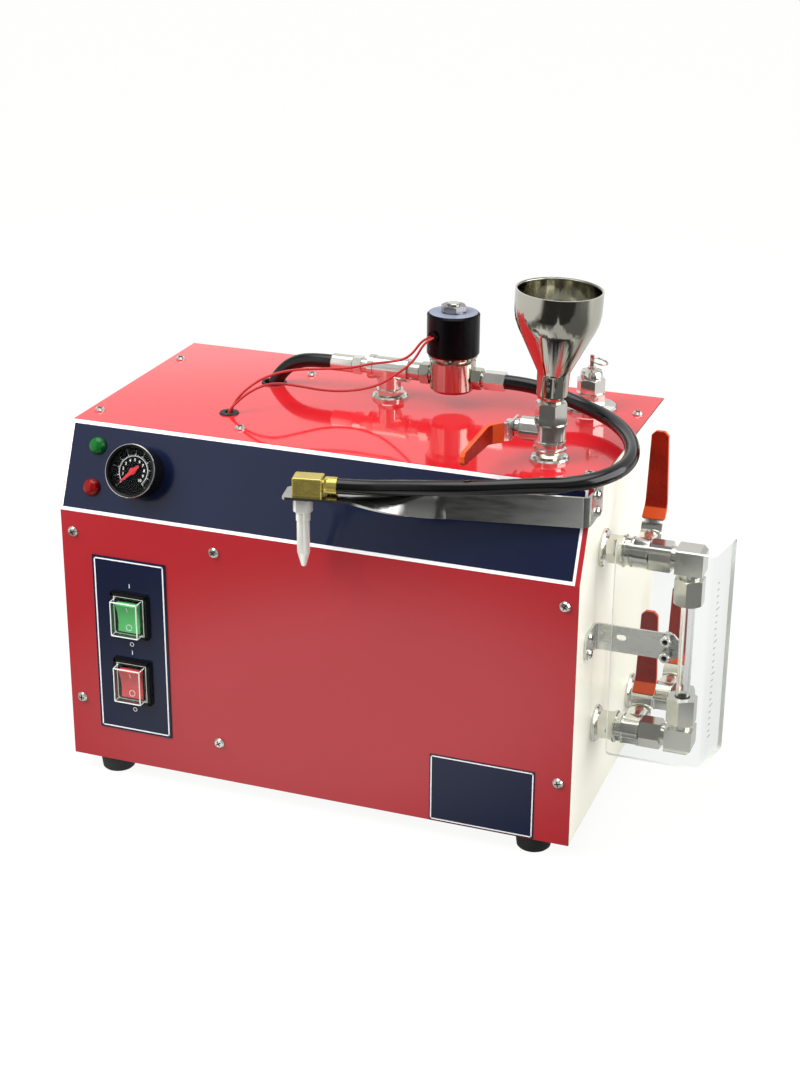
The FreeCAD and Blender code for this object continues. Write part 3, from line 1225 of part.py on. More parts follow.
def solenoid_valve():
    """Polished body with its core tube, the plunger inside it, the potted coil and its nut."""
    seat = FreeCAD.Placement(V(solenoid_x, outlet_y, top_z), FreeCAD.Rotation())
    tee_right = outlet_x + tee_half_length
    body_left = solenoid_x - solenoid_radius
    body_right = solenoid_x + solenoid_radius
    yoke_bottom = coil_bottom - yoke_plate_thickness
    nut_bottom = coil_top + coil_washer_thickness
    core_top = nut_bottom + coil_nut_height + core_stud_rise
    column = turned([(0, solenoid_bottom), (solenoid_radius - solenoid_chamfer, solenoid_bottom),
                     (solenoid_radius, solenoid_bottom + solenoid_chamfer),
                     (solenoid_radius, solenoid_top - 1), (solenoid_radius - 1, solenoid_top),
                     (yoke_neck_radius, solenoid_top), (yoke_neck_radius, yoke_bottom),
                     (yoke_plate_radius, yoke_bottom), (yoke_plate_radius, coil_bottom),
                     (core_tube_radius, coil_bottom), (core_tube_radius, coil_top),
                     (core_stud_radius, coil_top), (core_stud_radius, core_top - 0.5),
                     (core_stud_radius - 0.5, core_top), (0, core_top)])
    port_nut = hexagon(port_nut_flats, port_nut_length)
    body = fuse([placed(column, seat),
                 rod(V(tee_right, outlet_y, steam_z), X_AXIS, inlet_neck_radius, body_left + 3 - tee_right),
                 placed(port_nut,
                        frame_at(V(body_left - port_nut_length, outlet_y, steam_z), X_AXIS, Y_AXIS)),
                 placed(port_nut, frame_at(V(body_right - 1.0, outlet_y, steam_z), X_AXIS, Y_AXIS)),
                 rod(V(solenoid_x, outlet_y, steam_z), X_AXIS, outlet_neck_radius,
                     solenoid_radius + port_nut_length)])
    plunger_radius = core_tube_radius - core_tube_wall
    plunger_low = V(solenoid_x, outlet_y, steam_z + seat_lift)
    roof = top_z + coil_top - core_roof
    body = body.cut(rod(plunger_low, Z_AXIS, plunger_radius + run_gap, roof - plunger_low.z))
    body = body.cut(rod(V(tee_right, outlet_y, steam_z), X_AXIS, tee_bore,
                        solenoid_x - seat_web - 1 - tee_right))
    body = body.cut(rod(V(solenoid_x + seat_web + 1, outlet_y, steam_z), X_AXIS, tee_bore,
                        solenoid_radius + port_nut_length))
    nodes["solenoid_body"] = body
    nodes["solenoid_plunger"] = rod(plunger_low, Z_AXIS, plunger_radius, plunger_length)

    coil = turned([(0, coil_bottom), (coil_radius - coil_edge, coil_bottom),
                   (coil_radius, coil_bottom + coil_edge), (coil_radius, coil_top - coil_edge),
                   (coil_radius - coil_edge, coil_top), (0, coil_top)])
    boss = rod(V(0, 0, coil_exit_height), coil_exit_direction, coil_exit_radius,
               coil_radius + coil_exit_rise)
    coil = fuse([coil, boss]).cut(rod(V(0, 0, 0), Z_AXIS, core_tube_radius + seat_gap, coil_top + overrun))
    nodes["solenoid_coil"] = placed(coil, seat)
    stud_hole = core_stud_radius + seat_gap
    washer = tube(V(0, 0, coil_top), Z_AXIS, coil_washer_radius, stud_hole, coil_washer_thickness)
    nut = hexagon(coil_nut_flats, coil_nut_height, stud_hole, nut_bottom)
    nodes["coil_nut"] = group([placed(nut, seat), placed(washer, seat)])


def hose_ends():
    """Crimped ferrules on the two ends of the steam line, and the grommets in the top panel."""
    ferrule_end = left_hose_stub + ferrule_length
    left_end = turned([(0, 0), (hose_nipple_radius, 0), (hose_nipple_radius, hose_nipple_length),
                       (hose_nipple_radius + 0.5, hose_nipple_length),
                       (hose_nipple_radius + 0.5, left_hose_stub - 0.5), (ferrule_radius, left_hose_stub),
                       (ferrule_radius, ferrule_end - 1), (ferrule_radius - 0.6, ferrule_end),
                       (0, ferrule_end)])
    left_end = fuse([left_end, hexagon(hose_nut_flats, hose_nut_height, 0, hose_nipple_length)])
    right_end = fuse([rod(V(0, 0, 0), Z_AXIS, hose_nipple_radius, 2.0),
                      hexagon(2 * ferrule_radius, ferrule_length - 1.0, 0, 1.0)])
    right_start = V(solenoid_x + solenoid_radius + port_nut_length, outlet_y, steam_z)
    nodes["hose_ferrules"] = group([
        placed(left_end, frame_at(V(outlet_x - tee_half_length, outlet_y, steam_z), X_AXIS * -1, Y_AXIS)),
        placed(right_end, frame_at(right_start, X_AXIS, Y_AXIS))])

    bore = hose_radius + grommet_slack
    rim = hose_radius + grommet_rim
    lip = rim + grommet_lip
    hose_grommet = turned([(bore, -sheet - grommet_lip), (lip, -sheet - grommet_lip), (lip, -sheet),
                           (rim, -sheet), (rim, 0), (lip, 0), (lip - 0.5, grommet_rise),
                           (bore, grommet_rise)])
    rim = wire_gland_radius
    lip = rim + grommet_lip
    wire_gland = turned([(0, -wire_gland_length), (rim - 1.5, -wire_gland_length),
                         (rim, 2 - wire_gland_length), (rim, -wire_gland_depth - sheet), (lip, -sheet - 2),
                         (lip, -sheet), (rim, -sheet), (rim, 0), (lip, 0), (lip - 0.5, grommet_rise),
                         (wire_gland_mouth, grommet_rise), (wire_gland_mouth, -wire_gland_depth),
                         (0, -wire_gland_depth)])
    nodes["top_grommets"] = group([placed(hose_grommet, frame_at(hose_entry, Z_AXIS, X_AXIS)),
                                   placed(wire_gland, frame_at(wire_entry, Z_AXIS, X_AXIS))])


def cords():
    """Free hoses and wires; their routes are chosen by eye between the two ends that hold them."""
    left = V(outlet_x - tee_half_length - left_hose_stub - ferrule_length, outlet_y, steam_z)
    nodes["pressure_hose"] = cord("pressure_hose", [
        left, left + V(-hose_straight, 0, 0), left + V(-hose_turn, 0, -hose_turn_drop),
        hose_entry + hose_elbow, pressure_port + Z_AXIS * hose_port_rise, pressure_port], hose_radius)

    right = V(solenoid_x + solenoid_radius + port_nut_length + ferrule_length, outlet_y, steam_z)
    rear_bend = V(side_x, outlet_y, top_z)
    front_bend = V(side_x, 0, top_z)
    nodes["steam_hose"] = cord("steam_hose", [
        right, right + V(23.8, 0, 0), rear_bend + V(-53, 0, 14.5), rear_bend + V(-27, -13, 11.6),
        rear_bend + V(-6, -35.5, 11), rear_bend + V(8.5, -63, 11), front_bend + V(16.5, 68, 11),
        front_bend + V(15.8, 45, 9.8), front_bend + V(6.2, 25.2, 8.3), front_bend + V(-10.2, 10.5, 6.6),
        front_bend + V(-38, 2.2, 5), front_bend + V(-67, -6.6, 2.7), front_bend + V(-97, -12.4, 0.4),
        front_bend + V(-127, -14.6, -2.6), barb_end + arm_along * 17.0, barb_end], hose_radius)

    aside = V(-coil_exit_direction.y, coil_exit_direction.x, 0) * wire_spread
    middle = V(solenoid_x, outlet_y, top_z + coil_exit_height)
    start = middle + coil_exit_direction * (coil_radius + coil_exit_rise)
    straight = coil_exit_direction * 8.0
    rear_end = wire_entry + V(0.6, wire_spread, 0)
    nodes["coil_wire_rear"] = cord("coil_wire_rear", [
        start - aside, start - aside + straight, start + V(-12.7, -10.4, -12.5),
        start + V(-23.7, -9.4, -18.5), start + V(-40.7, -13.4, -20.5), start + V(-58.7, -21.4, -24.5),
        wire_entry + V(61, 32, 32.5), wire_entry + V(41, 23, 32), wire_entry + V(25, 14, 28),
        wire_entry + V(12.5, 7.6, 19.5), wire_entry + V(4.2, 3.4, 10),
        rear_end + Z_AXIS * 1.5, rear_end - Z_AXIS * wire_gland_depth],
        wire_radius)
    front_end = wire_entry + V(-0.4, -wire_spread, 0)
    nodes["coil_wire_front"] = cord("coil_wire_front", [
        start + aside, start + aside + straight, start + V(-10.7, -12.4, -17.5),
        start + V(-24.7, -11.4, -28.5), start + V(-37.7, -13.9, -38), start + V(-56.7, -18.4, -43),
        wire_entry + V(64, 35, 14.5), wire_entry + V(45, 26, 19), wire_entry + V(29, 17, 22.5),
        wire_entry + V(16, 8.5, 18), wire_entry + V(6, 2, 9.5),
        front_end + Z_AXIS * 1.5, front_end - Z_AXIS * wire_gland_depth],
        wire_radius)


# ---------------------------------------------------------------- sight glass
def sight_glass(nuts):
    inlet = side_x + valve_root_gap + side_valve_lift + body_length
    tube_x = inlet + union_nut_height + elbow_reach
    half = elbow_size / 2
    elbows = []
    gland_nuts = []
    for z, sense in ((upper_gauge_z, -1), (lower_gauge_z, 1)):
        axis = Z_AXIS * sense
        nose = tube_x + half + elbow_shoulder
        corner = block(tube_x - half - elbow_shoulder, nose, gauge_valve_y - half, gauge_valve_y + half,
                       z - half, z + half)
        outer = [e for e in corner.Edges if abs(e.tangentAt(e.FirstParameter).y) > 0.9
                 and abs(e.BoundBox.XMax - nose) < 0.01 and (e.BoundBox.ZMax - z) * sense < 0]
        corner = corner.makeChamfer(elbow_chamfer, outer)
        tail = rod(V(inlet, gauge_valve_y, z), X_AXIS, union_tail_radius, union_nut_height + 6)
        thread = V(tube_x, gauge_valve_y, z + sense * half)
        neck = rod(thread, axis, elbow_thread_radius, gland_gap + 8.0)
        elbow = fuse([corner, tail, neck])
        elbow = elbow.cut(rod(V(inlet, gauge_valve_y, z), X_AXIS, ball_bore, tube_x - inlet))
        elbow = elbow.cut(rod(V(tube_x, gauge_valve_y, z), axis, glass_radius + seat_gap, 2 * elbow_size))
        elbows.append(elbow)
        nut = placed(hexagon(gland_nut_flats, gland_nut_height),
                     frame_at(thread + axis * gland_gap, axis, Y_AXIS))
        nut = nut.cut(rod(thread, axis, elbow_thread_radius + seat_gap, gland_gap + 8.2))
        nut = nut.cut(rod(thread, axis, glass_radius + glass_slack, gland_gap + gland_nut_height))
        gland_nuts.append(nut)
    nodes["gauge_elbows"] = group(elbows)
    nodes["hex_nuts"] = group(nuts + gland_nuts)
    glass_start = half - glass_seat_depth
    nodes["gauge_tube"] = tube(V(tube_x, gauge_valve_y, lower_gauge_z + glass_start), Z_AXIS, glass_radius,
                               glass_radius - glass_wall, gauge_valve_spacing - 2 * glass_start)


# ---------------------------------------------------------------- guard, its bracket and the nozzle arm
def guard():
    """Angle bracket on the side panel, the folded clear pane on it, and their screws and nuts."""
    mid = bracket_thickness / 2
    low = guard_bracket_z - guard_bracket_height / 2
    path = [V(side_x + mid, guard_bracket_y - guard_bracket_tab, low),
            V(side_x + mid, guard_bracket_y + mid, low),
            V(side_x + guard_bracket_reach, guard_bracket_y + mid, low)]
    strip = bent_strip_plan(path, bracket_thickness, guard_bend).extrude(V(0, 0, guard_bracket_height))
    corners = [e for e in strip.Edges if abs(e.tangentAt(e.FirstParameter).z) < 0.1
               and abs(e.Length - bracket_thickness) < 0.1]
    strip = strip.makeChamfer(bracket_corner, corners)
    for z in guard_hole_heights:
        strip = strip.cut(rod(V(guard_hole_x, guard_bracket_y - overrun, z), Y_AXIS, guard_hole_radius,
                              bracket_thickness + 2 * overrun))
        strip = strip.cut(rod(V(side_x - overrun, guard_bracket_y - bracket_screw_inset, z), X_AXIS,
                              screw_shank_radius, bracket_thickness + 2 * overrun))
    slot_x = side_x + bracket_slot_reach
    slot_z = guard_bracket_z + bracket_slot_lift
    slot_length = bracket_thickness + 2 * overrun
    slot = fuse([rod(V(x, guard_bracket_y - overrun, slot_z), Y_AXIS, bracket_slot_radius, slot_length)
                 for x in (slot_x - bracket_slot_half, slot_x + bracket_slot_half)]
                + [block(slot_x - bracket_slot_half, slot_x + bracket_slot_half, guard_bracket_y - overrun,
                         guard_bracket_y - overrun + slot_length,
                         slot_z - bracket_slot_radius, slot_z + bracket_slot_radius)])
    nodes["guard_bracket"] = strip.cut(slot)

    face_y = guard_bracket_y - guard_thickness / 2
    wing = math.radians(guard_wing_angle)
    fold = V(side_x + guard_right, face_y, guard_bottom)
    path = [V(side_x + guard_left, face_y, guard_bottom), fold,
            fold + V(math.sin(wing), math.cos(wing), 0) * guard_wing]
    pane = bent_strip_plan(path, guard_thickness, guard_bend).extrude(V(0, 0, guard_top - guard_bottom))
    corners = [e for e in pane.Edges if abs(e.tangentAt(e.FirstParameter).z) < 0.1
               and abs(e.Length - guard_thickness) < 0.1]
    pane = pane.makeFillet(guard_corner, corners)
    shank = socket_screw_shank
    head = turned([(0, -socket_screw_length), (shank, -socket_screw_length), (shank, 0),
                   (socket_screw_radius, 0), (socket_screw_radius, socket_screw_height - socket_screw_edge),
                   (socket_screw_radius - socket_screw_edge, socket_screw_height), (0, socket_screw_height)])
    head = head.cut(hexagon(socket_flats, socket_depth, 0, socket_screw_height - socket_depth, False))
    nut = hexagon(guard_nut_flats, guard_nut_height, shank + seat_gap)
    screws = []
    for z in guard_hole_heights:
        outside = V(guard_hole_x, face_y - guard_thickness / 2, z)
        inside = V(guard_hole_x, guard_bracket_y + bracket_thickness, z)
        pane = pane.cut(rod(outside - Y_AXIS * overrun, Y_AXIS, guard_hole_radius,
                            guard_thickness + 2 * overrun))
        screws.append(placed(head, frame_at(outside, Y_AXIS * -1, X_AXIS)))
        screws.append(placed(nut, frame_at(inside, Y_AXIS, X_AXIS)))
    nodes["guard_pane"] = pane
    return screws


# ---------------------------------------------------------------- nozzle arm, elbow and nozzle
def arm_line_y(x):
    return arm_root_y - math.tan(arm_slope) * (arm_seat - x)


def nozzle_arm():
    """Strip that leaves the side panel, wraps the corner, leans forward and twists to lie flat."""
    mid = bracket_thickness / 2
    half = arm_width / 2
    low = arm_z - half
    path = [V(side_x + mid, arm_root_y + arm_tab_length, low), V(side_x + mid, arm_root_y, low),
            V(arm_twist_start, arm_line_y(arm_twist_start), low)]
    upright = bent_strip_plan(path, bracket_thickness, arm_bend).extrude(V(0, 0, arm_width))
    for base, out in side_screw_places[2:]:
        upright = upright.cut(rod(base + out * overrun, out * -1, screw_shank_radius,
                                  bracket_thickness + 2 * overrun))

    across = Z_AXIS.cross(arm_along)
    sections = []
    steps = 6
    for i in range(steps + 1):
        share = i / steps
        x = arm_twist_start - arm_twist_length * share
        centre = V(x, arm_line_y(x), arm_z)
        angle = math.pi / 2 * share
        flat = Z_AXIS * math.cos(angle) + across * math.sin(angle)
        thick = flat.cross(arm_along)
        corners = [centre + flat * (a * half) + thick * (b * mid)
                   for a, b in ((-1, -1), (1, -1), (1, 1), (-1, 1))]
        sections.append(Part.makePolygon(corners + [corners[0]]))
    twist = Part.makeLoft(sections, True, False)

    end = V(arm_twist_end, arm_line_y(arm_twist_end), arm_z - mid)
    tip = end - arm_along * (arm_twist_end - arm_tip_x)
    corner = arm_tip_corner
    outline = [end + across * half, tip + arm_along * corner + across * half, tip + across * (half - corner),
               tip - across * (half - corner), tip + arm_along * corner - across * half,
               end - across * half]
    plate = Part.Face(Part.makePolygon(outline + [outline[0]])).extrude(V(0, 0, bracket_thickness))
    arm = fuse([upright, twist, plate])
    hole = rod(V(nozzle_x, arm_nozzle_y, arm_z - mid - overrun), Z_AXIS, elbow_stud_radius + seat_gap,
               bracket_thickness + 2 * overrun)
    nodes["nozzle_arm"] = arm.cut(hole)


def nozzle_elbow():
    """Square elbow on the arm: stud down into the nozzle, nut and socket towards the hose."""
    half = elbow_block_size / 2
    face_x = elbow_block_length - half
    nut_x = face_x + elbow_nut_gap
    stud_foot = -bracket_thickness - elbow_stud_length
    elbow = block(-half, face_x, -half - 0.5, half + 0.5, 0, elbow_block_size)
    edges = [e for e in elbow.Edges if e.BoundBox.ZMin > elbow_block_size - 0.01
             or abs(e.tangentAt(e.FirstParameter).z) > 0.9]
    elbow = elbow.makeFillet(elbow_block_edge, edges)
    elbow = fuse([elbow, rod(V(0, 0, stud_foot), Z_AXIS, elbow_stud_radius, half - stud_foot),
                  rod(V(face_x - 1, 0, half), X_AXIS, elbow_neck_radius, elbow_nut_height),
                  placed(hexagon(elbow_nut_flats, elbow_nut_height),
                         frame_at(V(nut_x, 0, half), X_AXIS, Y_AXIS)),
                  rod(V(face_x + elbow_nut_height, 0, half), X_AXIS, elbow_socket_radius,
                      elbow_socket_length)])
    elbow = elbow.cut(rod(V(0, 0, stud_foot), Z_AXIS, elbow_bore, half - stud_foot))
    elbow = elbow.cut(rod(V(0, 0, half), X_AXIS, elbow_bore, face_x + elbow_nut_height + 5.0))
    elbow.rotate(V(0, 0, 0), Z_AXIS, math.degrees(arm_slope))
    elbow.translate(V(nozzle_x, arm_nozzle_y, arm_top))
    nodes["nozzle_elbow"] = elbow


def steam_nozzle():
    """Nozzle under the arm: head with two flats, collar, barrel and a long point."""
    body = turned([(0, 0), (nozzle_head_radius, 0), (nozzle_head_radius, -nozzle_head_length),
                   (nozzle_collar_radius, -nozzle_head_length - 0.5),
                   (nozzle_collar_radius, -nozzle_collar_end),
                   (nozzle_barrel_radius, -nozzle_collar_end - 0.6),
                   (nozzle_barrel_radius, -nozzle_barrel_end), (nozzle_tip_radius + 0.6, 0.8 - nozzle_length),
                   (nozzle_tip_radius, -nozzle_length), (0, -nozzle_length)])
    flat = block(-nozzle_head_radius, nozzle_head_radius, nozzle_head_flats / 2, nozzle_head_radius,
                 -nozzle_head_length - 0.2, 0)
    body = body.cut(flat).cut(flat.mirror(V(0, 0, 0), Y_AXIS))
    body = body.cut(rod(V(0, 0, -elbow_stud_length - 0.2), Z_AXIS, elbow_stud_radius + seat_gap,
                        elbow_stud_length + 0.2))
    body = body.cut(rod(V(0, 0, -nozzle_length), Z_AXIS, nozzle_bore, nozzle_length))
    body = body.cut(rod(V(0, 0, -nozzle_chamber_end), Z_AXIS, elbow_bore, nozzle_chamber_end - 4.0))
    body.rotate(V(0, 0, 0), Z_AXIS, math.degrees(arm_slope))
    body.translate(V(nozzle_x, arm_nozzle_y, arm_z - bracket_thickness / 2))
    nodes["steam_nozzle"] = body


# ---------------------------------------------------------------- pressure switch on the bulkhead
def pressure_switch():
    """Boxed switch on the inner wall, its port straight under the hose's hole."""
    half_height = pressure_switch_height / 2
    half = pressure_switch_width / 2
    seat = frame_at(V(bulkhead_x, outlet_y, pressure_port.z - port_length - half_height), X_AXIS * -1,
                    Y_AXIS * -1)
    body = block(-half, half, -half_height, half_height, 0, pressure_switch_depth)
    upright = [e for e in body.Edges if abs(e.tangentAt(e.FirstParameter).z) > 0.9]
    body = body.makeFillet(2.0, upright)
    port = fuse([rod(V(0, half_height, port_inset), Y_AXIS, port_radius, port_length),
                 placed(hexagon(port_flats, port_length / 2),
                        frame_at(V(0, half_height, port_inset), Y_AXIS, X_AXIS))])
    nodes["pressure_switch"] = placed(fuse([body, port]), seat)


# ---------------------------------------------------------------- build, move to the origin, export
def build():
    cabinet()
    cable_glands()
    switches()
    pressure_gauge()
    lamps()
    boiler()
    nuts = ball_valves()
    funnel()
    safety_valve()
    steam_tee()
    solenoid_valve()
    hose_ends()
    cords()
    sight_glass(nuts)
    side_screws = [screw(base, out) for base, out in side_screw_places]
    nodes["bracket_screws"] = group(guard() + side_screws)
    nozzle_arm()
    nozzle_elbow()
    steam_nozzle()
    pressure_switch()


cord_nodes = ("steam_hose", "pressure_hose", "coil_wire_rear", "coil_wire_front")
build()
rigid = [shape for name, shape in nodes.items() if name not in cord_nodes]
box = rigid[0].BoundBox
for shape in rigid[1:]:
    box.add(shape.BoundBox)
origin = V((box.XMin + box.XMax) / 2, (box.YMin + box.YMax) / 2, box.ZMin)

os.makedirs("parts", exist_ok=True)
for name, shape in nodes.items():
    moved = shape.copy()
    moved.translate(origin * -1)
    moved.exportStep("parts/" + name + ".step")
print("%d nodes, origin moved by %s" % (len(nodes), origin))
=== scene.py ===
import math

import bmesh
import bpy
from mathutils import Matrix, Vector


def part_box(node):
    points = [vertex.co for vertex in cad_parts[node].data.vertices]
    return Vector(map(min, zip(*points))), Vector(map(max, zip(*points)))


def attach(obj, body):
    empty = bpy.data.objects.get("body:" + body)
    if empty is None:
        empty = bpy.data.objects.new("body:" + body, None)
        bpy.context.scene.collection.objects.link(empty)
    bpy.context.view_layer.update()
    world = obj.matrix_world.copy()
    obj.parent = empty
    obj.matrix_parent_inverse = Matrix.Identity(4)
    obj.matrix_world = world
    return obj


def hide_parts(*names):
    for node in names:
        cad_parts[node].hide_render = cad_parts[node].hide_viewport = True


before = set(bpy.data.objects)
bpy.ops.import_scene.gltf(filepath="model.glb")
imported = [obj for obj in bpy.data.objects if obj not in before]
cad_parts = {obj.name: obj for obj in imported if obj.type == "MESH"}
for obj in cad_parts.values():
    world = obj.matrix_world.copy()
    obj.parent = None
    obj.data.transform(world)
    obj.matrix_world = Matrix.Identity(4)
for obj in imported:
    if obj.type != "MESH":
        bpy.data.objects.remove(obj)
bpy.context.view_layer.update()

# Jewellery steam cleaner. Lengths are in millimetres measured from the cabinet: x from its middle,
# y back from the front panel, z up from its bottom edge. metres() turns them into the model's frame.
MM = 0.001
CABINET_DEPTH = 234.0
CABINET_SIDE = 200.0
TOP = 267.0
FASCIA_FOOT = 204.0
FASCIA_SETBACK = 28.0
ROOT = "cleaner"

rear_low, rear_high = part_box("rear_panel")
top_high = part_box("top_panel")[1]
CORNER = Vector(((rear_low.x + rear_high.x) / 2, rear_high.y - CABINET_DEPTH * MM, top_high.z - TOP * MM))

X_AXIS = (1, 0, 0)
Y_AXIS = (0, 1, 0)
Z_AXIS = (0, 0, 1)
FORWARD = (0, -1, 0)
DOWN = (0, 0, -1)
HERE = Matrix.Identity(4)


def metres(x, y, z):
    return CORNER + Vector((x, y, z)) * MM


def seat(base, axis=Z_AXIS, across=X_AXIS):
    """Matrix from local millimetres, Z along the axis and X across, into the model's frame."""
    z_dir = Vector(axis).normalized()
    y_dir = z_dir.cross(Vector(across)).normalized()
    x_dir = y_dir.cross(z_dir)
    turn = Matrix((x_dir, y_dir, z_dir)).transposed().to_4x4()
    return Matrix.Translation(metres(*base)) @ turn @ Matrix.Scale(MM, 4)


CABINET_SEAT = Matrix.Translation(CORNER) @ Matrix.Scale(MM, 4)
SLOPE = math.hypot(FASCIA_SETBACK, TOP - FASCIA_FOOT)
FASCIA_UP = Vector((0, FASCIA_SETBACK, TOP - FASCIA_FOOT)) / SLOPE
FASCIA_OUT = Vector((0, -FASCIA_UP.z, FASCIA_UP.y))


def on_fascia(x, up):
    """Seat on the fascia's face: x along the cabinet, y up the slope, z out of the face."""
    base = Vector((x, 0, FASCIA_FOOT)) + FASCIA_UP * up
    return seat(base, FASCIA_OUT, X_AXIS)


# ---------------------------------------------------------------- node trees
def new_material(name):
    material = bpy.data.materials.new(name)
    material.use_nodes = True
    return material, material.node_tree


def joined(tree, operation, first, *others):
    """Output of a sum in a node tree, left to right; the others are outputs or plain numbers."""
    total = first
    for other in others:
        node = tree.nodes.new("ShaderNodeMath")
        node.operation = operation
        tree.links.new(total, node.inputs[0])
        if isinstance(other, float):
            node.inputs[1].default_value = other
        else:
            tree.links.new(other, node.inputs[1])
        total = node.outputs["Value"]
    return total


def ramp(tree, value, start, end, low, high, kind="SMOOTHSTEP"):
    """Change from low to high while a value goes from start to end."""
    node = tree.nodes.new("ShaderNodeMapRange")
    node.interpolation_type = kind
    for socket, number in (("From Min", start), ("From Max", end), ("To Min", low), ("To Max", high)):
        node.inputs[socket].default_value = number
    tree.links.new(value, node.inputs["Value"])
    return node.outputs["Result"]


def grain(tree, where, scale, detail):
    """Noise over a surface."""
    node = tree.nodes.new("ShaderNodeTexNoise")
    node.inputs["Scale"].default_value = scale
    node.inputs["Detail"].default_value = detail
    tree.links.new(where, node.inputs["Vector"])
    return node.outputs["Fac"]


# ---------------------------------------------------------------- finishes
def finish(name, dark, light, mottle=25.0, rough=(0.25, 0.35), rough_scale=160.0, bump=0.0,
           bump_scale=700.0, stretch=(1, 1, 1), **sockets):
    """Principled finish: two close colours mixed by noise, uneven roughness and a fine bump."""
    material, tree = new_material(name)
    shader = tree.nodes["Principled BSDF"]
    stretched = tree.nodes.new("ShaderNodeMapping")
    stretched.inputs["Scale"].default_value = stretch
    tree.links.new(tree.nodes.new("ShaderNodeTexCoord").outputs["Object"], stretched.inputs["Vector"])
    where = stretched.outputs["Vector"]

    mix = tree.nodes.new("ShaderNodeMix")
    mix.data_type = "RGBA"
    mix.inputs["A"].default_value = (*dark, 1)
    mix.inputs["B"].default_value = (*light, 1)
    tree.links.new(grain(tree, where, mottle, 4), mix.inputs["Factor"])
    tree.links.new(mix.outputs["Result"], shader.inputs["Base Color"])

    uneven = ramp(tree, grain(tree, where, rough_scale, 3), 0.3, 0.7, *rough, kind="LINEAR")
    tree.links.new(uneven, shader.inputs["Roughness"])

    if bump > 0:
        height = tree.nodes.new("ShaderNodeBump")
        height.inputs["Distance"].default_value = bump * MM
        tree.links.new(grain(tree, where, bump_scale, 2), height.inputs["Height"])
        tree.links.new(height.outputs["Normal"], shader.inputs["Normal"])
    for socket, value in sockets.items():
        shader.inputs[socket.replace("_", " ")].default_value = value
    return material


SCUFF_SCALE = 120
EDGE_SHINE = 0.45
EDGE_POWER = 4.0


def clear_sheet(name, tint, sheen, rough):
    """Clear sheet that doesn't bend the view: tinted see-through, with a shine that grows at a glance."""
    material, tree = new_material(name)
    tree.nodes.remove(tree.nodes["Principled BSDF"])
    through = tree.nodes.new("ShaderNodeBsdfTransparent")
    through.inputs["Color"].default_value = (*tint, 1)
    shine = tree.nodes.new("ShaderNodeBsdfGlossy")
    scuffs = grain(tree, tree.nodes.new("ShaderNodeTexCoord").outputs["Object"], SCUFF_SCALE, 2)
    tree.links.new(ramp(tree, scuffs, 0.0, 1.0, *rough, kind="LINEAR"), shine.inputs["Roughness"])
    glance = tree.nodes.new("ShaderNodeLayerWeight").outputs["Facing"]
    edge_share = joined(tree, "MULTIPLY", joined(tree, "POWER", glance, EDGE_POWER), EDGE_SHINE)
    blend = tree.nodes.new("ShaderNodeMixShader")
    tree.links.new(joined(tree, "ADD", edge_share, sheen), blend.inputs["Fac"])
    tree.links.new(through.outputs["BSDF"], blend.inputs[1])
    tree.links.new(shine.outputs["BSDF"], blend.inputs[2])
    tree.links.new(blend.outputs["Shader"], tree.nodes["Material Output"].inputs["Surface"])
    return material


# Paint and print
red_enamel = finish("red_enamel", (0.36, 0.011, 0.016), (0.395, 0.013, 0.020), mottle=6, rough=(0.18, 0.24),
                    bump=0.003, bump_scale=420, Coat_Weight=0.60, Coat_Roughness=0.10)
# Lighter copy of the front's red enamel for the top panel: its lighter colour is painted light from above.
red_enamel_top_painted_light = finish("red_enamel_top_painted_light", (0.54, 0.013, 0.019), (0.58, 0.016, 0.023), mottle=6,
                        rough=(0.06, 0.09), bump=0.002, bump_scale=420, Coat_Weight=0.3, Coat_Roughness=0.04)
# Dark maroon for the panels' end faces: painted shade where the sheet edge falls in shadow.
red_edge_painted_shade = finish("red_enamel_painted_edge_shade", (0.035, 0.003, 0.005), (0.05, 0.004, 0.007), mottle=20, rough=(0.4, 0.5))
ivory_enamel = finish("ivory_enamel", (0.82, 0.80, 0.69), (0.87, 0.85, 0.74), mottle=8, rough=(0.30, 0.36),
                      bump=0.006, bump_scale=500, Specular_IOR_Level=0.3)
navy_print = finish("navy_print", (0.004, 0.0075, 0.026), (0.006, 0.010, 0.036), mottle=12,
                    rough=(0.16, 0.20), bump=0.001, bump_scale=900, Specular_IOR_Level=0.4)
white_print = finish("white_print", (0.80, 0.78, 0.80), (0.88, 0.86, 0.88), mottle=150, rough=(0.35, 0.45))
grey_print = finish("grey_print", (0.20, 0.20, 0.20), (0.28, 0.28, 0.27), mottle=150, rough=(0.4, 0.5))
pointer_red = finish("pointer_lacquer", (0.46, 0.020, 0.026), (0.54, 0.032, 0.038), mottle=60,
                     rough=(0.3, 0.4), Specular_IOR_Level=0.25)

# Metals
nickel = finish("nickel_plate", (0.66, 0.655, 0.60), (0.80, 0.795, 0.74), mottle=40, rough=(0.09, 0.15),
                rough_scale=120, bump=0.004, bump_scale=500, Metallic=0.92)
stainless = finish("polished_stainless", (0.46, 0.45, 0.385), (0.57, 0.56, 0.485), mottle=30,
                   rough=(0.08, 0.13), rough_scale=60, bump=0.003, bump_scale=300, Metallic=1.0)
brushed = finish("brushed_stainless", (0.62, 0.62, 0.58), (0.76, 0.76, 0.72), mottle=120, rough=(0.20, 0.30),
                 rough_scale=300, bump=0.004, bump_scale=700, stretch=(0.12, 1, 1), Metallic=0.8)
arm_steel = finish("arm_steel", (0.46, 0.465, 0.44), (0.60, 0.605, 0.57), mottle=90, rough=(0.14, 0.22),
                   rough_scale=260, bump=0.003, bump_scale=600, stretch=(0.12, 1, 1), Metallic=1.0)
brass = finish("tumbled_brass", (0.52, 0.42, 0.09), (0.68, 0.56, 0.16), mottle=90, rough=(0.20, 0.32),
               bump=0.012, bump_scale=600, Metallic=0.8)
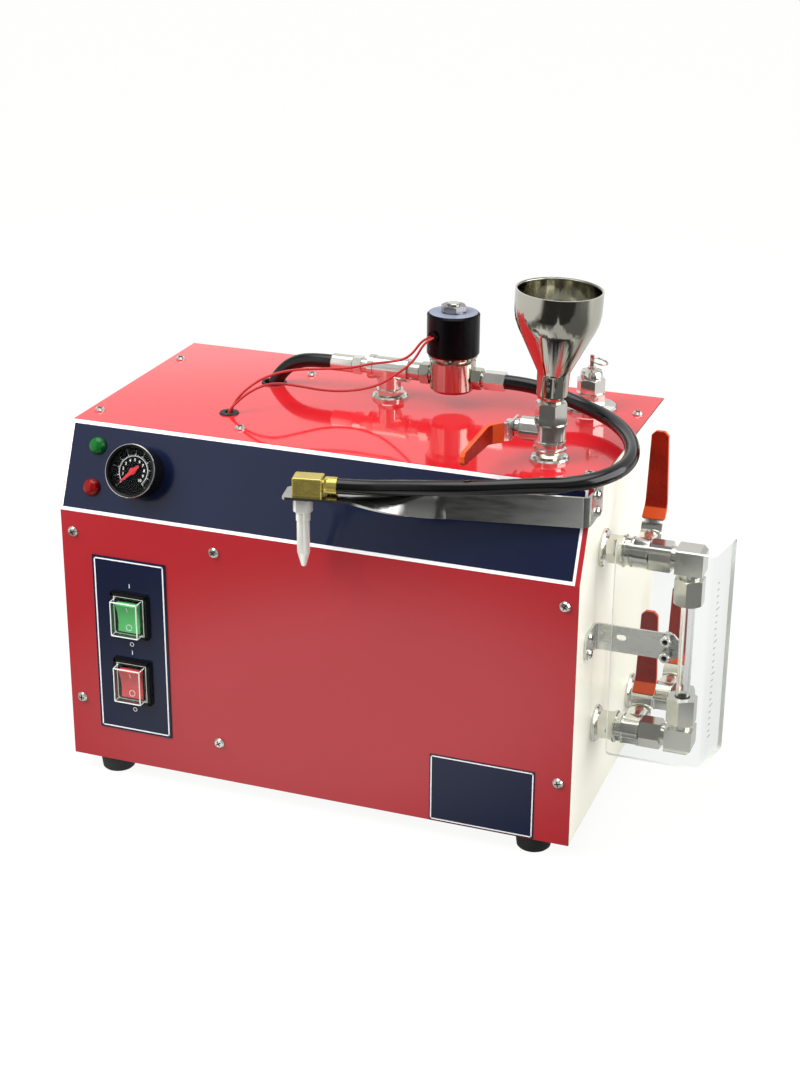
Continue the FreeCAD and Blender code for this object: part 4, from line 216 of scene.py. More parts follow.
nozzle_plate = finish("nozzle_plate", (0.88, 0.88, 0.81), (0.97, 0.97, 0.91), mottle=60, rough=(0.12, 0.20),
                      rough_scale=200, bump=0.004, bump_scale=500, Metallic=0.5)
nut_zinc = finish("nut_zinc", (0.30, 0.30, 0.31), (0.40, 0.40, 0.41), mottle=50, rough=(0.22, 0.32),
                  Metallic=1.0)
zinc = finish("zinc_sheet_finish", (0.46, 0.47, 0.48), (0.60, 0.61, 0.62), mottle=45, rough=(0.32, 0.5),
              rough_scale=70, Metallic=1.0)
tank_steel = finish("boiler_steel", (0.42, 0.40, 0.37), (0.60, 0.59, 0.57), mottle=18, rough=(0.28, 0.42),
                    Metallic=1.0)
# Near-black: painted shade in screw recesses and sockets, and the print of the guard's ticks.
painted_recess_shade_and_tick_print = finish("painted_recess_shade_and_tick_print", (0.02, 0.02, 0.02), (0.05, 0.05, 0.05), mottle=200, rough=(0.4, 0.5),
                      Metallic=1.0)

# Rubber, vinyl and mouldings
black_rubber = finish("black_rubber_finish", (0.010, 0.010, 0.010), (0.018, 0.018, 0.018), mottle=90,
                      rough=(0.45, 0.6), bump=0.03, bump_scale=900)
hose_rubber = finish("hose_rubber", (0.0015, 0.0015, 0.0015), (0.003, 0.003, 0.003), mottle=60,
                     rough=(0.13, 0.19), rough_scale=240, bump=0.004, bump_scale=600, Specular_IOR_Level=0.5)
wire_jacket = finish("wire_jacket", (0.34, 0.018, 0.018), (0.42, 0.026, 0.024), mottle=60, rough=(0.3, 0.4))
grip_vinyl = finish("grip_vinyl", (0.20, 0.006, 0.001), (0.26, 0.010, 0.002), mottle=30, rough=(0.24, 0.32),
                    bump=0.006, bump_scale=200, Specular_IOR_Level=0.15)
# Lighter orange copy of the grip vinyl for its narrow sides: painted highlight.
grip_vinyl_painted_highlight = finish("grip_vinyl_painted_highlight", (0.56, 0.060, 0.010), (0.66, 0.085, 0.016), mottle=30,
                   rough=(0.26, 0.34), bump=0.006, bump_scale=200, Specular_IOR_Level=0.2)
black_moulding = finish("black_moulding", (0.003, 0.003, 0.0035), (0.006, 0.006, 0.007), mottle=60,
                        rough=(0.25, 0.35), bump=0.006, bump_scale=1200, Specular_IOR_Level=0.25)
dial_black = finish("dial_black_finish", (0.002, 0.0025, 0.0025), (0.004, 0.005, 0.005), mottle=60,
                    rough=(0.4, 0.5), Specular_IOR_Level=0.02)
coil_resin = finish("coil_resin", (0.001, 0.001, 0.0015), (0.002, 0.002, 0.003), mottle=50,
                    rough=(0.20, 0.26), bump=0.003, bump_scale=500, Specular_IOR_Level=0.12)
coil_face = finish("coil_end_face", (0.17, 0.19, 0.26), (0.23, 0.26, 0.35), mottle=80, rough=(0.35, 0.5),
                   bump=0.02, bump_scale=400)
green_rocker = finish("green_rocker", (0.09, 0.52, 0.14), (0.15, 0.64, 0.22), mottle=90, rough=(0.15, 0.25),
                      Specular_IOR_Level=0.4)
red_rocker = finish("red_rocker", (0.72, 0.06, 0.07), (0.82, 0.11, 0.12), mottle=90, rough=(0.15, 0.25),
                    Specular_IOR_Level=0.4)

# Clear and tinted pieces
green_lens = finish("green_lens", (0.001, 0.070, 0.008), (0.002, 0.11, 0.016), mottle=60, rough=(0.10, 0.14),
                    Specular_IOR_Level=0.35, Coat_Weight=0.12, Coat_Roughness=0.05)
red_lens = finish("red_lens", (0.15, 0.001, 0.001), (0.22, 0.002, 0.002), mottle=60, rough=(0.10, 0.14),
                  Specular_IOR_Level=0.3, Coat_Weight=0.12, Coat_Roughness=0.05)
clear_acrylic = clear_sheet("clear_acrylic", (0.965, 0.972, 0.965), 0.03, (0.01, 0.04))
# Opaque whitish finish for the guard's edge faces: painted highlight.
acrylic_edge_painted_highlight = finish("acrylic_edge_painted_highlight", (0.72, 0.75, 0.71), (0.86, 0.89, 0.85), mottle=60, rough=(0.25, 0.4))
boot_silicone = clear_sheet("boot_silicone", (0.93, 0.95, 0.93), 0.04, (0.05, 0.14))
# Light silicone for bars along the boots' edges: painted highlight.
silicone_painted_highlight = finish("silicone_painted_highlight", (0.72, 0.76, 0.72), (0.85, 0.88, 0.85), mottle=80, rough=(0.2, 0.3))
lens_glass = clear_sheet("lens_glass", (0.985, 0.99, 0.985), 0.005, (0.0, 0.02))
gauge_glass = finish("gauge_glass", (0.96, 0.97, 0.97), (0.98, 0.985, 0.985), mottle=20, rough=(0.0, 0.02),
                     IOR=1.47, Transmission_Weight=1.0)


# ---------------------------------------------------------------- shapes
def soften(shape, width, segments=2, angle=30):
    """Round every edge of a shape that is sharper than the angle."""
    edges = [e for e in shape.edges
             if len(e.link_faces) == 2 and e.calc_face_angle(0) > math.radians(angle)]
    bmesh.ops.bevel(shape, geom=edges, offset=width, offset_type="OFFSET", segments=segments, profile=0.5,
                    affect="EDGES", clamp_overlap=True, material=-1)
    return shape


def turned(profile, steps=64, closed=False):
    """Lathe (radius, height) points round local Z; a closed profile makes a ring."""
    shape = bmesh.new()
    verts = [shape.verts.new((r, 0, z)) for r, z in profile]
    pairs = list(zip(verts, verts[1:]))
    if closed:
        pairs.append((verts[-1], verts[0]))
    edges = [shape.edges.new(pair) for pair in pairs]
    bmesh.ops.spin(shape, geom=verts + edges, cent=(0, 0, 0), axis=(0, 0, 1), angle=2 * math.pi,
                   steps=steps, use_merge=True)
    bmesh.ops.remove_doubles(shape, verts=shape.verts, dist=1e-4)
    bmesh.ops.recalc_face_normals(shape, faces=shape.faces)
    return shape


def flat_arc(inner, outer, sweep, steps):
    """Flat band between two radii, clockwise from local X, facing up."""
    shape = bmesh.new()
    ends = [shape.verts.new((radius, 0, 0)) for radius in (outer, inner)]
    edge = shape.edges.new(ends)
    bmesh.ops.spin(shape, geom=ends + [edge], cent=(0, 0, 0), axis=DOWN, angle=sweep, steps=steps)
    return shape


def slab(x0, x1, y0, y1, z0, z1, edge=0.0, segments=2):
    """Box between six planes, its edges rounded."""
    shape = bmesh.new()
    bmesh.ops.create_cube(shape, size=1.0)
    bmesh.ops.scale(shape, vec=(x1 - x0, y1 - y0, z1 - z0), verts=shape.verts)
    bmesh.ops.translate(shape, vec=((x0 + x1) / 2, (y0 + y1) / 2, (z0 + z1) / 2), verts=shape.verts)
    return soften(shape, edge, segments) if edge > 0 else shape


def plate(outline, z0, z1):
    """Flat plate with an (x, y) outline between two heights."""
    shape = bmesh.new()
    face = shape.faces.new([shape.verts.new((x, y, z0)) for x, y in outline])
    grown = bmesh.ops.extrude_face_region(shape, geom=[face])
    risen = [v for v in grown["geom"] if isinstance(v, bmesh.types.BMVert)]
    bmesh.ops.translate(shape, vec=(0, 0, z1 - z0), verts=risen)
    bmesh.ops.recalc_face_normals(shape, faces=shape.faces)
    return shape


def outline_bars(width, height, bar, z0, z1, edge=0.0):
    """Rectangular frame of four bars, centred in local x and y."""
    x, y = width / 2, height / 2
    return [slab(-x, x, y - bar, y, z0, z1, edge), slab(-x, x, -y, -y + bar, z0, z1, edge),
            slab(-x, -x + bar, -y, y, z0, z1, edge), slab(x - bar, x, -y, y, z0, z1, edge)]


def ring(radius, wire, height=0.0, steps=64, around=10):
    """Round wire bent to a ring about local Z."""
    profile = [(radius + wire * math.cos(2 * math.pi * i / around),
                height + wire * math.sin(2 * math.pi * i / around)) for i in range(around)]
    return turned(profile, steps, closed=True)


def thread(radius, length, pitch=1.0, depth=0.45):
    """Rounded thread ridges along local Z."""
    root = radius - depth
    profile = [(0, 0), (root, 0)]
    for i in range(int(length / pitch)):
        profile += [(root, pitch * (i + 0.1)), (radius, pitch * (i + 0.4)),
                    (radius, pitch * (i + 0.6)), (root, pitch * (i + 0.9))]
    profile += [(root, length), (0, length)]
    return turned(profile, 40)


def figures(text, size, bold=0.0):
    """Figures centred on the local origin, as a flat print."""
    curve = bpy.data.curves.new("figures", "FONT")
    curve.body = text
    curve.size = size
    curve.align_x = "CENTER"
    curve.align_y = "CENTER"
    curve.resolution_u = 3
    curve.offset = bold
    made = bpy.data.objects.new("figures", curve)
    shape = bmesh.new()
    shape.from_mesh(made.to_mesh())
    made.to_mesh_clear()
    bpy.data.objects.remove(made)
    bpy.data.curves.remove(curve)
    return shape


# ---------------------------------------------------------------- pieces
def merged_copy(node, edge=0.0):
    """A node's own shape with its loose triangles merged, flat faces joined and edges rounded."""
    shape = bmesh.new()
    shape.from_mesh(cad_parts[node].data)
    bmesh.ops.remove_doubles(shape, verts=shape.verts, dist=1e-7)
    bmesh.ops.dissolve_limit(shape, angle_limit=math.radians(1.0), use_dissolve_boundaries=False,
                             verts=shape.verts, edges=shape.edges)
    if edge > 0:
        soften(shape, edge * MM)
    return shape


def piece(name, parts, finishes, body=ROOT, stands_for=(), sharp=32):
    """One object from placed shapes; a part is (shape, matrix) or (shape, matrix, finish number)."""
    whole = bmesh.new()
    for shape, place, *number in parts:
        placed = shape.copy()
        bmesh.ops.transform(placed, matrix=place, verts=placed.verts)
        for face in placed.faces:
            face.material_index = number[0] if number else 0
        mesh = bpy.data.meshes.new(name + "_part")
        placed.to_mesh(mesh)
        placed.free()
        whole.from_mesh(mesh)
        bpy.data.meshes.remove(mesh)
    for face in whole.faces:
        face.smooth = True
    for edge in whole.edges:
        edge.smooth = len(edge.link_faces) == 2 and edge.calc_face_angle(0) < math.radians(sharp)
    mesh = bpy.data.meshes.new(name)
    whole.to_mesh(mesh)
    whole.free()
    for material in finishes:
        mesh.materials.append(material)
    made = bpy.data.objects.new(name, mesh)
    bpy.context.scene.collection.objects.link(made)
    even = made.modifiers.new("even_flats", "WEIGHTED_NORMAL")
    even.keep_sharp = True
    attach(made, body)
    if stands_for:
        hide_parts(*stands_for)
    return made


def dress(node, material, edge=0.0, body=ROOT, extra=(), more=()):
    """A node's own shape in its finish, with any further parts in further finishes."""
    return piece(node + "_finished", [(merged_copy(node, edge), HERE)] + list(extra), [material] + list(more),
                 body=body, stands_for=[node])


# ---------------------------------------------------------------- camera
CAMERA_PLACE = (513.80, -1217.76, 757.22)
CAMERA_AIM = Vector((-0.31704, 0.86890, -0.38012)).normalized()
CAMERA_AZIMUTH = math.radians(20.0457)
CAMERA_ROLL = math.radians(0.387)
CAMERA_LENS = 67.67
CAMERA_FILM = 36.0


def place_camera():
    """Camera in front of the machine, to its right and above it."""
    level = Vector((math.cos(CAMERA_AZIMUTH), math.sin(CAMERA_AZIMUTH), 0))
    upright = level.cross(CAMERA_AIM)
    across = level * math.cos(CAMERA_ROLL) + upright * math.sin(CAMERA_ROLL)
    upward = upright * math.cos(CAMERA_ROLL) - level * math.sin(CAMERA_ROLL)
    lens = bpy.data.cameras.new("camera")
    lens.lens = CAMERA_LENS
    lens.sensor_width = CAMERA_FILM
    lens.clip_start = 0.05
    lens.clip_end = 50.0
    camera = bpy.data.objects.new("camera", lens)
    bpy.context.scene.collection.objects.link(camera)
    turn = Matrix((across, upward, -CAMERA_AIM)).transposed().to_4x4()
    camera.matrix_world = Matrix.Translation(metres(*CAMERA_PLACE)) @ turn
    bpy.context.scene.camera = camera


place_camera()

# ---------------------------------------------------------------- hoses and wires
HOSE_RADIUS = 5.5
WIRE_RADIUS = 0.95
STEAM_Z = TOP + 23.0
OUTLET_Y = 160.0
SOLENOID_X = 52.7
ARM_Z = 254.0
ARM_ROOT = (202.0, 12.5)
NOZZLE = (6.4, -24.0)
ELBOW_LIFT = 7.5                 # middle of the brass elbow above the arm's middle
BARB_REACH = 24.5                # from the nozzle's axis to the end of the elbow's barb
ARM_SLOPE = math.atan2(ARM_ROOT[1] - NOZZLE[1], ARM_ROOT[0] - NOZZLE[0])
ARM_ALONG = Vector((math.cos(ARM_SLOPE), math.sin(ARM_SLOPE), 0))
BARB_END = Vector((*NOZZLE, ARM_Z + ELBOW_LIFT)) + ARM_ALONG * BARB_REACH
COIL_EXIT = math.radians(243.0)
COIL_EXIT_RADIUS = 22.0
COIL_EXIT_Z = TOP + 57.5
WIRES_OUT = Vector((math.cos(COIL_EXIT), math.sin(COIL_EXIT), 0))
WIRES_ASIDE = Vector((-WIRES_OUT.y, WIRES_OUT.x, 0)) * 1.6
WIRES_START = Vector((SOLENOID_X, OUTLET_Y, COIL_EXIT_Z)) + WIRES_OUT * COIL_EXIT_RADIUS
WIRES_STRAIGHT = WIRES_OUT * 8.0
WIRE_GLAND = Vector((-97.0, 80.0, TOP))
REAR_WIRE_END = WIRE_GLAND + Vector((0.6, 1.6, -4.0))
FRONT_WIRE_END = WIRE_GLAND + Vector((-0.4, -1.6, -4.0))
GLAND_RISE = Vector((0, 0, 5.5))

steam_hose_route = [
    (95.2, 160, STEAM_Z), (119, 160, 290), (147, 160, 281.5), (173, 147, 278.6), (194, 124.5, 278),
    (208.5, 97, 278), (216.5, 68, 278), (215.8, 45, 276.8), (206.2, 25.2, 275.3), (189.8, 10.5, 273.6),
    (162, 2.2, 272), (133, -6.6, 269.7), (103, -12.4, 267.4), (73, -14.6, 264.4),
    BARB_END + ARM_ALONG * 17.0, BARB_END]
pressure_hose_route = [(-45, 160, STEAM_Z), (-61, 160, 290), (-77, 160, 286.5), (-88.5, 160, 277),
                       (-96, 160, 264.5), (-96, 160, TOP - 17.0)]
rear_wire_route = [
    WIRES_START - WIRES_ASIDE, WIRES_START - WIRES_ASIDE + WIRES_STRAIGHT, (30, 130, 312), (19, 131, 306),
    (2, 127, 304), (-16, 119, 300), (-36, 112, 299.5), (-56, 103, 299), (-72, 94, 295), (-84.5, 87.6, 286.5),
    (-92.8, 83.4, 277), REAR_WIRE_END + GLAND_RISE, REAR_WIRE_END]
front_wire_route = [
    WIRES_START + WIRES_ASIDE, WIRES_START + WIRES_ASIDE + WIRES_STRAIGHT, (32, 128, 307), (18, 129, 296),
    (5, 126.5, 286.5), (-14, 122, 281.5), (-33, 115, 281.5), (-52, 106, 286), (-68, 97, 289.5),
    (-81, 88.5, 285), (-91, 82, 276.5), FRONT_WIRE_END + GLAND_RISE, FRONT_WIRE_END]


def free_cord(name, route, radius, material, node):
    """Hose or wire as one smooth open curve through its route, round in section."""
    curve = bpy.data.curves.new(name, "CURVE")
    curve.dimensions = "3D"
    curve.resolution_u = 12
    curve.bevel_depth = radius * MM
    curve.bevel_resolution = 7
    curve.use_fill_caps = True
    spline = curve.splines.new("NURBS")
    spline.points.add(len(route) - 1)
    for point, place in zip(spline.points, route):
        point.co = (*metres(*place), 1)
    spline.order_u = 3
    spline.use_endpoint_u = True
    spline.use_smooth = True
    curve.materials.append(material)
    made = bpy.data.objects.new(name, curve)
    bpy.context.scene.collection.objects.link(made)
    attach(made, ROOT)
    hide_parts(node)


free_cord("steam_hose_rubber", steam_hose_route, HOSE_RADIUS, hose_rubber,
          "steam_hose")
free_cord("pressure_hose_rubber", pressure_hose_route, HOSE_RADIUS, hose_rubber,
          "pressure_hose")
free_cord("coil_wire_rear_jacket", rear_wire_route, WIRE_RADIUS, wire_jacket,
          "coil_wire_rear")
free_cord("coil_wire_front_jacket", front_wire_route, WIRE_RADIUS, wire_jacket,
          "coil_wire_front")

# ---------------------------------------------------------------- cabinet
SOFT_FOLD = 0.25
SHADED_END_REACH = 0.3


def darken_cut_ends(panel, node):
    """Give the sheet edges at a panel's left and right ends its second finish, a dark maroon of painted
    shade.
    """
    low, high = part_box(node)
    for face in panel.data.polygons:
        # End faces of the sheet get the dark maroon of painted shade.
        at_end = face.center.x < low.x + SHADED_END_REACH * MM or face.center.x > high.x - SHADED_END_REACH * MM
        if at_end and abs(face.normal.x) > 0.9:
            face.material_index = 1


# The top panel gets the lighter red copy, painted light.
for red_node, red_paint in (("front_panel", red_enamel), ("top_panel", red_enamel_top_painted_light)):
    red_panel = dress(red_node, red_paint, SOFT_FOLD, more=[red_edge_painted_shade])
    darken_cut_ends(red_panel, red_node)
for ivory_node in ("side_panel_left", "side_panel_right", "rear_panel"):
    dress(ivory_node, ivory_enamel, SOFT_FOLD)
dress("rubber_feet", black_rubber)

FILM_HALF = 198.1
FILM_X = -1.5                    # the film is a little off the cabinet's middle


def dress_fascia():
    """Fascia with its printed film: a white border round a navy field."""
    place = on_fascia(FILM_X, SLOPE / 2)
    foot, head = -SLOPE / 2, SLOPE / 2
    border = slab(-FILM_HALF, FILM_HALF, foot + 0.4, head - 0.3, 0, 0.12)
    field = slab(-FILM_HALF + 1.3, FILM_HALF - 2.0, foot + 3.0, head - 3.2, 0.1, 0.25)
    dress("fascia_panel", red_enamel, SOFT_FOLD, extra=[(border, place, 2), (field, place, 1)],
          more=[navy_print, white_print])


dress_fascia()

SWITCH_X = -145.0
SWITCH_HEIGHTS = {"pedal_rocker": 127.0, "power_rocker": 72.0}
PLATE_MIDDLE = (-145.05, -1.0, 100.0)
PLATE_LINE = (57.3, 140.8, 1.0)
ON_MARK_LIFT = 23.6
OFF_MARK_DROP = 24.4


def dress_switch_plate():
    """Switch plate with a white line round it and a plain on and off mark at each switch."""
    middle = seat(PLATE_MIDDLE, FORWARD)
    prints = [(bar, middle, 1) for bar in outline_bars(*PLATE_LINE, 0, 0.12)]
    for z in SWITCH_HEIGHTS.values():
        on_place = seat((SWITCH_X, PLATE_MIDDLE[1], z + ON_MARK_LIFT), FORWARD)
        off_place = seat((SWITCH_X, PLATE_MIDDLE[1], z - OFF_MARK_DROP), FORWARD)
        prints.append((slab(-0.28, 0.28, -1.7, 1.7, 0, 0.1), on_place, 1))
        prints.append((ring(1.5, 0.26, 0.0, 32, 8), off_place, 1))
    dress("switch_plate", navy_print, 0.2, extra=prints, more=[white_print])


dress_switch_plate()

DATA_PLATE_MIDDLE = (133.6, 0, 28.0)
data_place = seat(DATA_PLATE_MIDDLE, FORWARD)
data_sheet = slab(-39.9, 39.9, -27.3, 27.3, 0, 0.5, 0.15)
data_lines = [(bar, data_place, 1) for bar in outline_bars(78.0, 52.8, 0.9, 0.4, 0.6)]
piece("data_plate_bare", [(data_sheet, data_place, 0)] + data_lines, [navy_print, white_print])

# ---------------------------------------------------------------- sight glass and arm places
GAUGE_VALVE_Y = 62.0
UPPER_GAUGE_Z = 209.5
LOWER_GAUGE_Z = 70.0
ELBOW_HALF = 9.0
TUBE_X = 263.5
BRACKET_SHEET = 2.0
BRACKET_AHEAD = 18.0             # in front of the gauge valves
BRACKET_LIFT = 8.75              # above the middle between them
BRACKET_Y = GAUGE_VALVE_Y - BRACKET_AHEAD
BRACKET_Z = (UPPER_GAUGE_Z + LOWER_GAUGE_Z) / 2 + BRACKET_LIFT
BRACKET_SCREW_INSET = 17.0
GUARD_SHEET = 3.0
GUARD_MIDDLE_Y = BRACKET_Y - GUARD_SHEET / 2
GUARD_FOLD_X = CABINET_SIDE + 83.0
GUARD_SCREW_X = CABINET_SIDE + 53.5
GUARD_SCREW_HEAD = 3.6
PAIR_HALF = 6.25                 # half the distance between the bracket's two screws
ARM_PAIR_HALF = 6.0
ARM_SCREW_INSET = 20.0

# ---------------------------------------------------------------- screws
SCREW_HEAD = 2.4
SCREW_COLUMNS = (-190.5, -75.0, 190.5)
PANEL_SCREW_TOP = 188.0
PANEL_SCREW_LOW = 50.0
MIDDLE_SCREW_LOW = 31.6
LID_SCREW_ROWS = (51.0, 189.0)


def crosses(places, across, first_turn, turn_step):
    """Cross recesses in pan heads, drawn as dark slabs of painted shade, each turned differently; a place is
    (base, axis).
    """
    marks = []
    for number, (base, axis) in enumerate(places):
        place = seat(base, axis, across) @ Matrix.Rotation(first_turn + turn_step * number, 4, "Z")
        for half_x, half_y in ((2.1, 0.375), (0.375, 2.1)):
            groove = slab(-half_x, half_x, -half_y, half_y, SCREW_HEAD - 0.6, SCREW_HEAD + 0.03)
            marks.append((groove, place, 1))
    return marks


front_screws = [(x, PANEL_SCREW_TOP) for x in SCREW_COLUMNS]
front_screws += [(-190.5, PANEL_SCREW_LOW), (190.5, PANEL_SCREW_LOW), (-75.0, MIDDLE_SCREW_LOW)]
panel_places = [((x, 0, z), FORWARD) for x, z in front_screws]
panel_places += [((x, y, TOP), Z_AXIS) for x in SCREW_COLUMNS for y in LID_SCREW_ROWS]
panel_places += [((x, CABINET_DEPTH, z), Y_AXIS) for x in SCREW_COLUMNS
                 for z in (PANEL_SCREW_LOW, PANEL_SCREW_TOP)]
dress("panel_screws", nickel, extra=crosses(panel_places, X_AXIS, 0.5, 1.9),
      more=[painted_recess_shade_and_tick_print])

side_x = CABINET_SIDE + BRACKET_SHEET
pair_heights = (BRACKET_Z - PAIR_HALF, BRACKET_Z + PAIR_HALF)
side_places = [((side_x, BRACKET_Y - BRACKET_SCREW_INSET, z), X_AXIS) for z in pair_heights]
side_places += [((side_x, ARM_ROOT[1] + ARM_SCREW_INSET, ARM_Z + half), X_AXIS)
                for half in (-ARM_PAIR_HALF, ARM_PAIR_HALF)]
side_marks = crosses(side_places, Y_AXIS, 0.3, 1.3)
for z in pair_heights:
    # A dark disc deep in each guard screw's socket: painted shade.
    socket_floor = turned([(0, -2.15), (1.85, -2.15), (1.85, -1.9), (0, -1.9)], 6)
    socket_mouth = seat((GUARD_SCREW_X, GUARD_MIDDLE_Y - GUARD_SHEET / 2 - GUARD_SCREW_HEAD, z), FORWARD)
    side_marks.append((socket_floor, socket_mouth, 1))
dress("bracket_screws", nickel, extra=side_marks, more=[painted_recess_shade_and_tick_print])

# ---------------------------------------------------------------- switches
SWITCH_FACE = -3.0
PIVOT_Y = 3.0
ROCKER_TILT = math.radians(9.0)
ROCKER_DISH = 2.0
ROCKER_SLOPE = 7.605             # height of the slope from a rocker's end to its dished middle
ROCKER_MARK_UP = 7.9             # middle of that slope above the pivot
ROCKER_MARK_RISE = 2.6


def dress_switch_bodies():
    """Both housings with a raised frame round the well, and both clear boots with bars of lighter silicone
    along their edges and corners as painted highlights.
    """
    frames = []
    edges = []
    for z in SWITCH_HEIGHTS.values():
        place = seat((SWITCH_X, SWITCH_FACE, z), FORWARD)
        frames += [(bar, place) for bar in outline_bars(30.4, 35.4, 2.6, -0.3, 1.4, 0.5)]
        # Thin light bars on the boots' front edges, back edges and corners: painted highlights.
        edges += [(bar, place, 1) for bar in outline_bars(22.3, 28.3, 0.9, 9.0, 9.85, 0.35)]
        edges += [(bar, place, 1) for bar in outline_bars(24.8, 30.8, 0.7, 0.4, 1.2, 0.3)]
        edges += [(slab(x - 0.3, x + 0.3, y - 0.3, y + 0.3, 1.0, 9.4, 0.2), place, 1)
                  for x in (-10.8, 10.8) for y in (-13.8, 13.8)]
    dress("switch_housings", black_moulding, 0.3, extra=frames)
    dress("switch_boots", boot_silicone, extra=edges, more=[silicone_painted_highlight])


def dress_rocker(node, material, body):
    """Rocker with a bar on the upper half of its face and a ring on the lower, at its resting tilt."""
    z = SWITCH_HEIGHTS[node]
    pivot = Matrix.Translation((SWITCH_X, PIVOT_Y, z))
    tilt = pivot @ Matrix.Rotation(ROCKER_TILT, 4, "X") @ pivot.inverted()
    tilt = CABINET_SEAT @ tilt @ CABINET_SEAT.inverted()
    marks = []
    for side, mark in ((-1, ring(2.3, 0.28, 0.1, 32, 8)), (1, slab(-0.3, 0.3, -2.2, 2.2, 0, 0.2))):
        face = Vector((0, -ROCKER_SLOPE, -ROCKER_DISH * side))
        level_place = seat((SWITCH_X, SWITCH_FACE - ROCKER_MARK_RISE, z + side * ROCKER_MARK_UP), face)
        marks.append((mark, tilt @ level_place, 1))
    dress(node, material, 0.2, body=body, extra=marks, more=[white_print])


dress_switch_bodies()
dress_rocker("pedal_rocker", green_rocker, "pedal_switch_rocker")
dress_rocker("power_rocker", red_rocker, "power_switch_rocker")

# ---------------------------------------------------------------- gauge and lamps
GAUGE_X = -139.5
GAUGE_UP = 35.5
GAUGE_FRONT = 18.0
DIAL_TOP = 11.6
ZERO = math.radians(225.0)
SWEEP = math.radians(270.0)
SCALE_RADIUS = 11.3
SCALE_LINE = 0.28
SCALE_STEPS = 50
STEPS_PER_FIGURE = 5
LONG_TICK = (1.9, 0.30)
SHORT_TICK = (1.0, 0.16)
OUTER_TICK = (14.2, 15.6)
gauge_place = on_fascia(GAUGE_X, GAUGE_UP)


def dial_spot(share, radius=0.0, lift=0.0, upright=False):
    """Place on the dial at a share of the pointer's sweep, turned with it or upright."""
    angle = ZERO - SWEEP * share
    if upright:
        spot = Matrix.Translation((radius * math.cos(angle), radius * math.sin(angle), lift))
    else:
        spot = Matrix.Rotation(angle, 4, "Z")
    return gauge_place @ Matrix.Translation((0, 0, DIAL_TOP + 0.04)) @ spot


def dial_prints():
    """Scale line, ticks and two rings of plain figures, white inside and grey outside."""
    line = flat_arc(SCALE_RADIUS - SCALE_LINE / 2, SCALE_RADIUS + SCALE_LINE / 2, SWEEP, 54)
    prints = [(line, dial_spot(0), 1)]
    for step in range(SCALE_STEPS + 1):
        spot = dial_spot(step / SCALE_STEPS)
        at_figure = step % STEPS_PER_FIGURE == 0
        reach, width = LONG_TICK if at_figure else SHORT_TICK
        tick = slab(SCALE_RADIUS, SCALE_RADIUS + reach, -width / 2, width / 2, -0.02, 0.02)
        prints.append((tick, spot, 1))
        if at_figure:
            prints.append((slab(*OUTER_TICK, -0.12, 0.12, -0.02, 0.02), spot, 2))
    for number in range(11):
        prints.append((figures(str(number), 2.9, 0.04), dial_spot(number / 10, 8.5, 0.02, upright=True), 1))
    for number in range(6):
        text = str(30 * number)
        prints.append((figures(text, 2.0, 0.01), dial_spot(number / 5, 16.6, 0.02, upright=True), 2))
    return prints


def dress_gauge():
    """Case with a bright ring, glass, printed dial, and a pointer with a blade and a hub."""
    rim = turned([(18.9, GAUGE_FRONT - 0.5), (19.3, GAUGE_FRONT - 0.1), (19.8, GAUGE_FRONT - 0.3),
                  (20.0, GAUGE_FRONT - 0.9), (19.6, GAUGE_FRONT - 1.1)], 96, closed=True)
    dress("gauge_case", black_moulding, extra=[(rim, gauge_place, 1)], more=[nickel])
    dress("gauge_lens", lens_glass)
    dress("gauge_dial", dial_black, extra=dial_prints(), more=[white_print, grey_print])

    at_zero = gauge_place @ Matrix.Rotation(ZERO, 4, "Z")
    upper_side = [(-5.6, 1.0), (-1.0, 1.7), (3.6, 0.9), (12.2, 0.25)]
    lower_side = [(x, -y) for x, y in reversed(upper_side)]
    blade = plate([(-6.4, 0.0)] + upper_side + [(13.0, 0.0)] + lower_side, DIAL_TOP + 1.2, DIAL_TOP + 1.9)
    hub = turned([(0, DIAL_TOP + 1.0), (1.7, DIAL_TOP + 1.0), (1.7, DIAL_TOP + 2.3), (1.3, DIAL_TOP + 2.6),
                  (0, DIAL_TOP + 2.6)], 32)
    dress("gauge_pointer", pointer_red, body="pointer",
          extra=[(blade, at_zero, 0), (hub, at_zero, 0)])


dress_gauge()
dress("lamp_green", green_lens)
dress("lamp_red", red_lens)

# ---------------------------------------------------------------- fittings
INLET_THREAD = (6.9, 9.0)
INLET_THREAD_X = 18.4
NECK_THREAD = (7.9, 4.4)
COIL_TOP = 73.0
COIL_FACE_RADIUS = 18.3
COIL_FACE_SHEET = 0.12
FUNNEL_FOOT = (156.0, 70.0, 311.5)
FUNNEL_LEAN = math.radians(2.2)

for fitting in ("panel_flanges", "valve_bodies", "hex_nuts", "gauge_elbows", "safety_valve", "hose_ferrules"):
    dress(fitting, nickel)
dress("coil_nut", nut_zinc)
dress("steam_nozzle", nozzle_plate)
inlet_thread = (thread(*INLET_THREAD), seat((INLET_THREAD_X, OUTLET_Y, STEAM_Z), X_AXIS, Y_AXIS), 0)
dress("steam_tee", nickel, extra=[inlet_thread])
dress("solenoid_body", stainless)
coil_end = turned([(0, COIL_TOP), (COIL_FACE_RADIUS, COIL_TOP),
                   (COIL_FACE_RADIUS, COIL_TOP + COIL_FACE_SHEET), (0, COIL_TOP + COIL_FACE_SHEET)], 64)
dress("solenoid_coil", coil_resin, extra=[(coil_end, seat((SOLENOID_X, OUTLET_Y, TOP)), 1)],
      more=[coil_face])
dress("top_grommets", black_rubber)
dress("cable_glands", black_moulding)
dress("gauge_tube", gauge_glass)
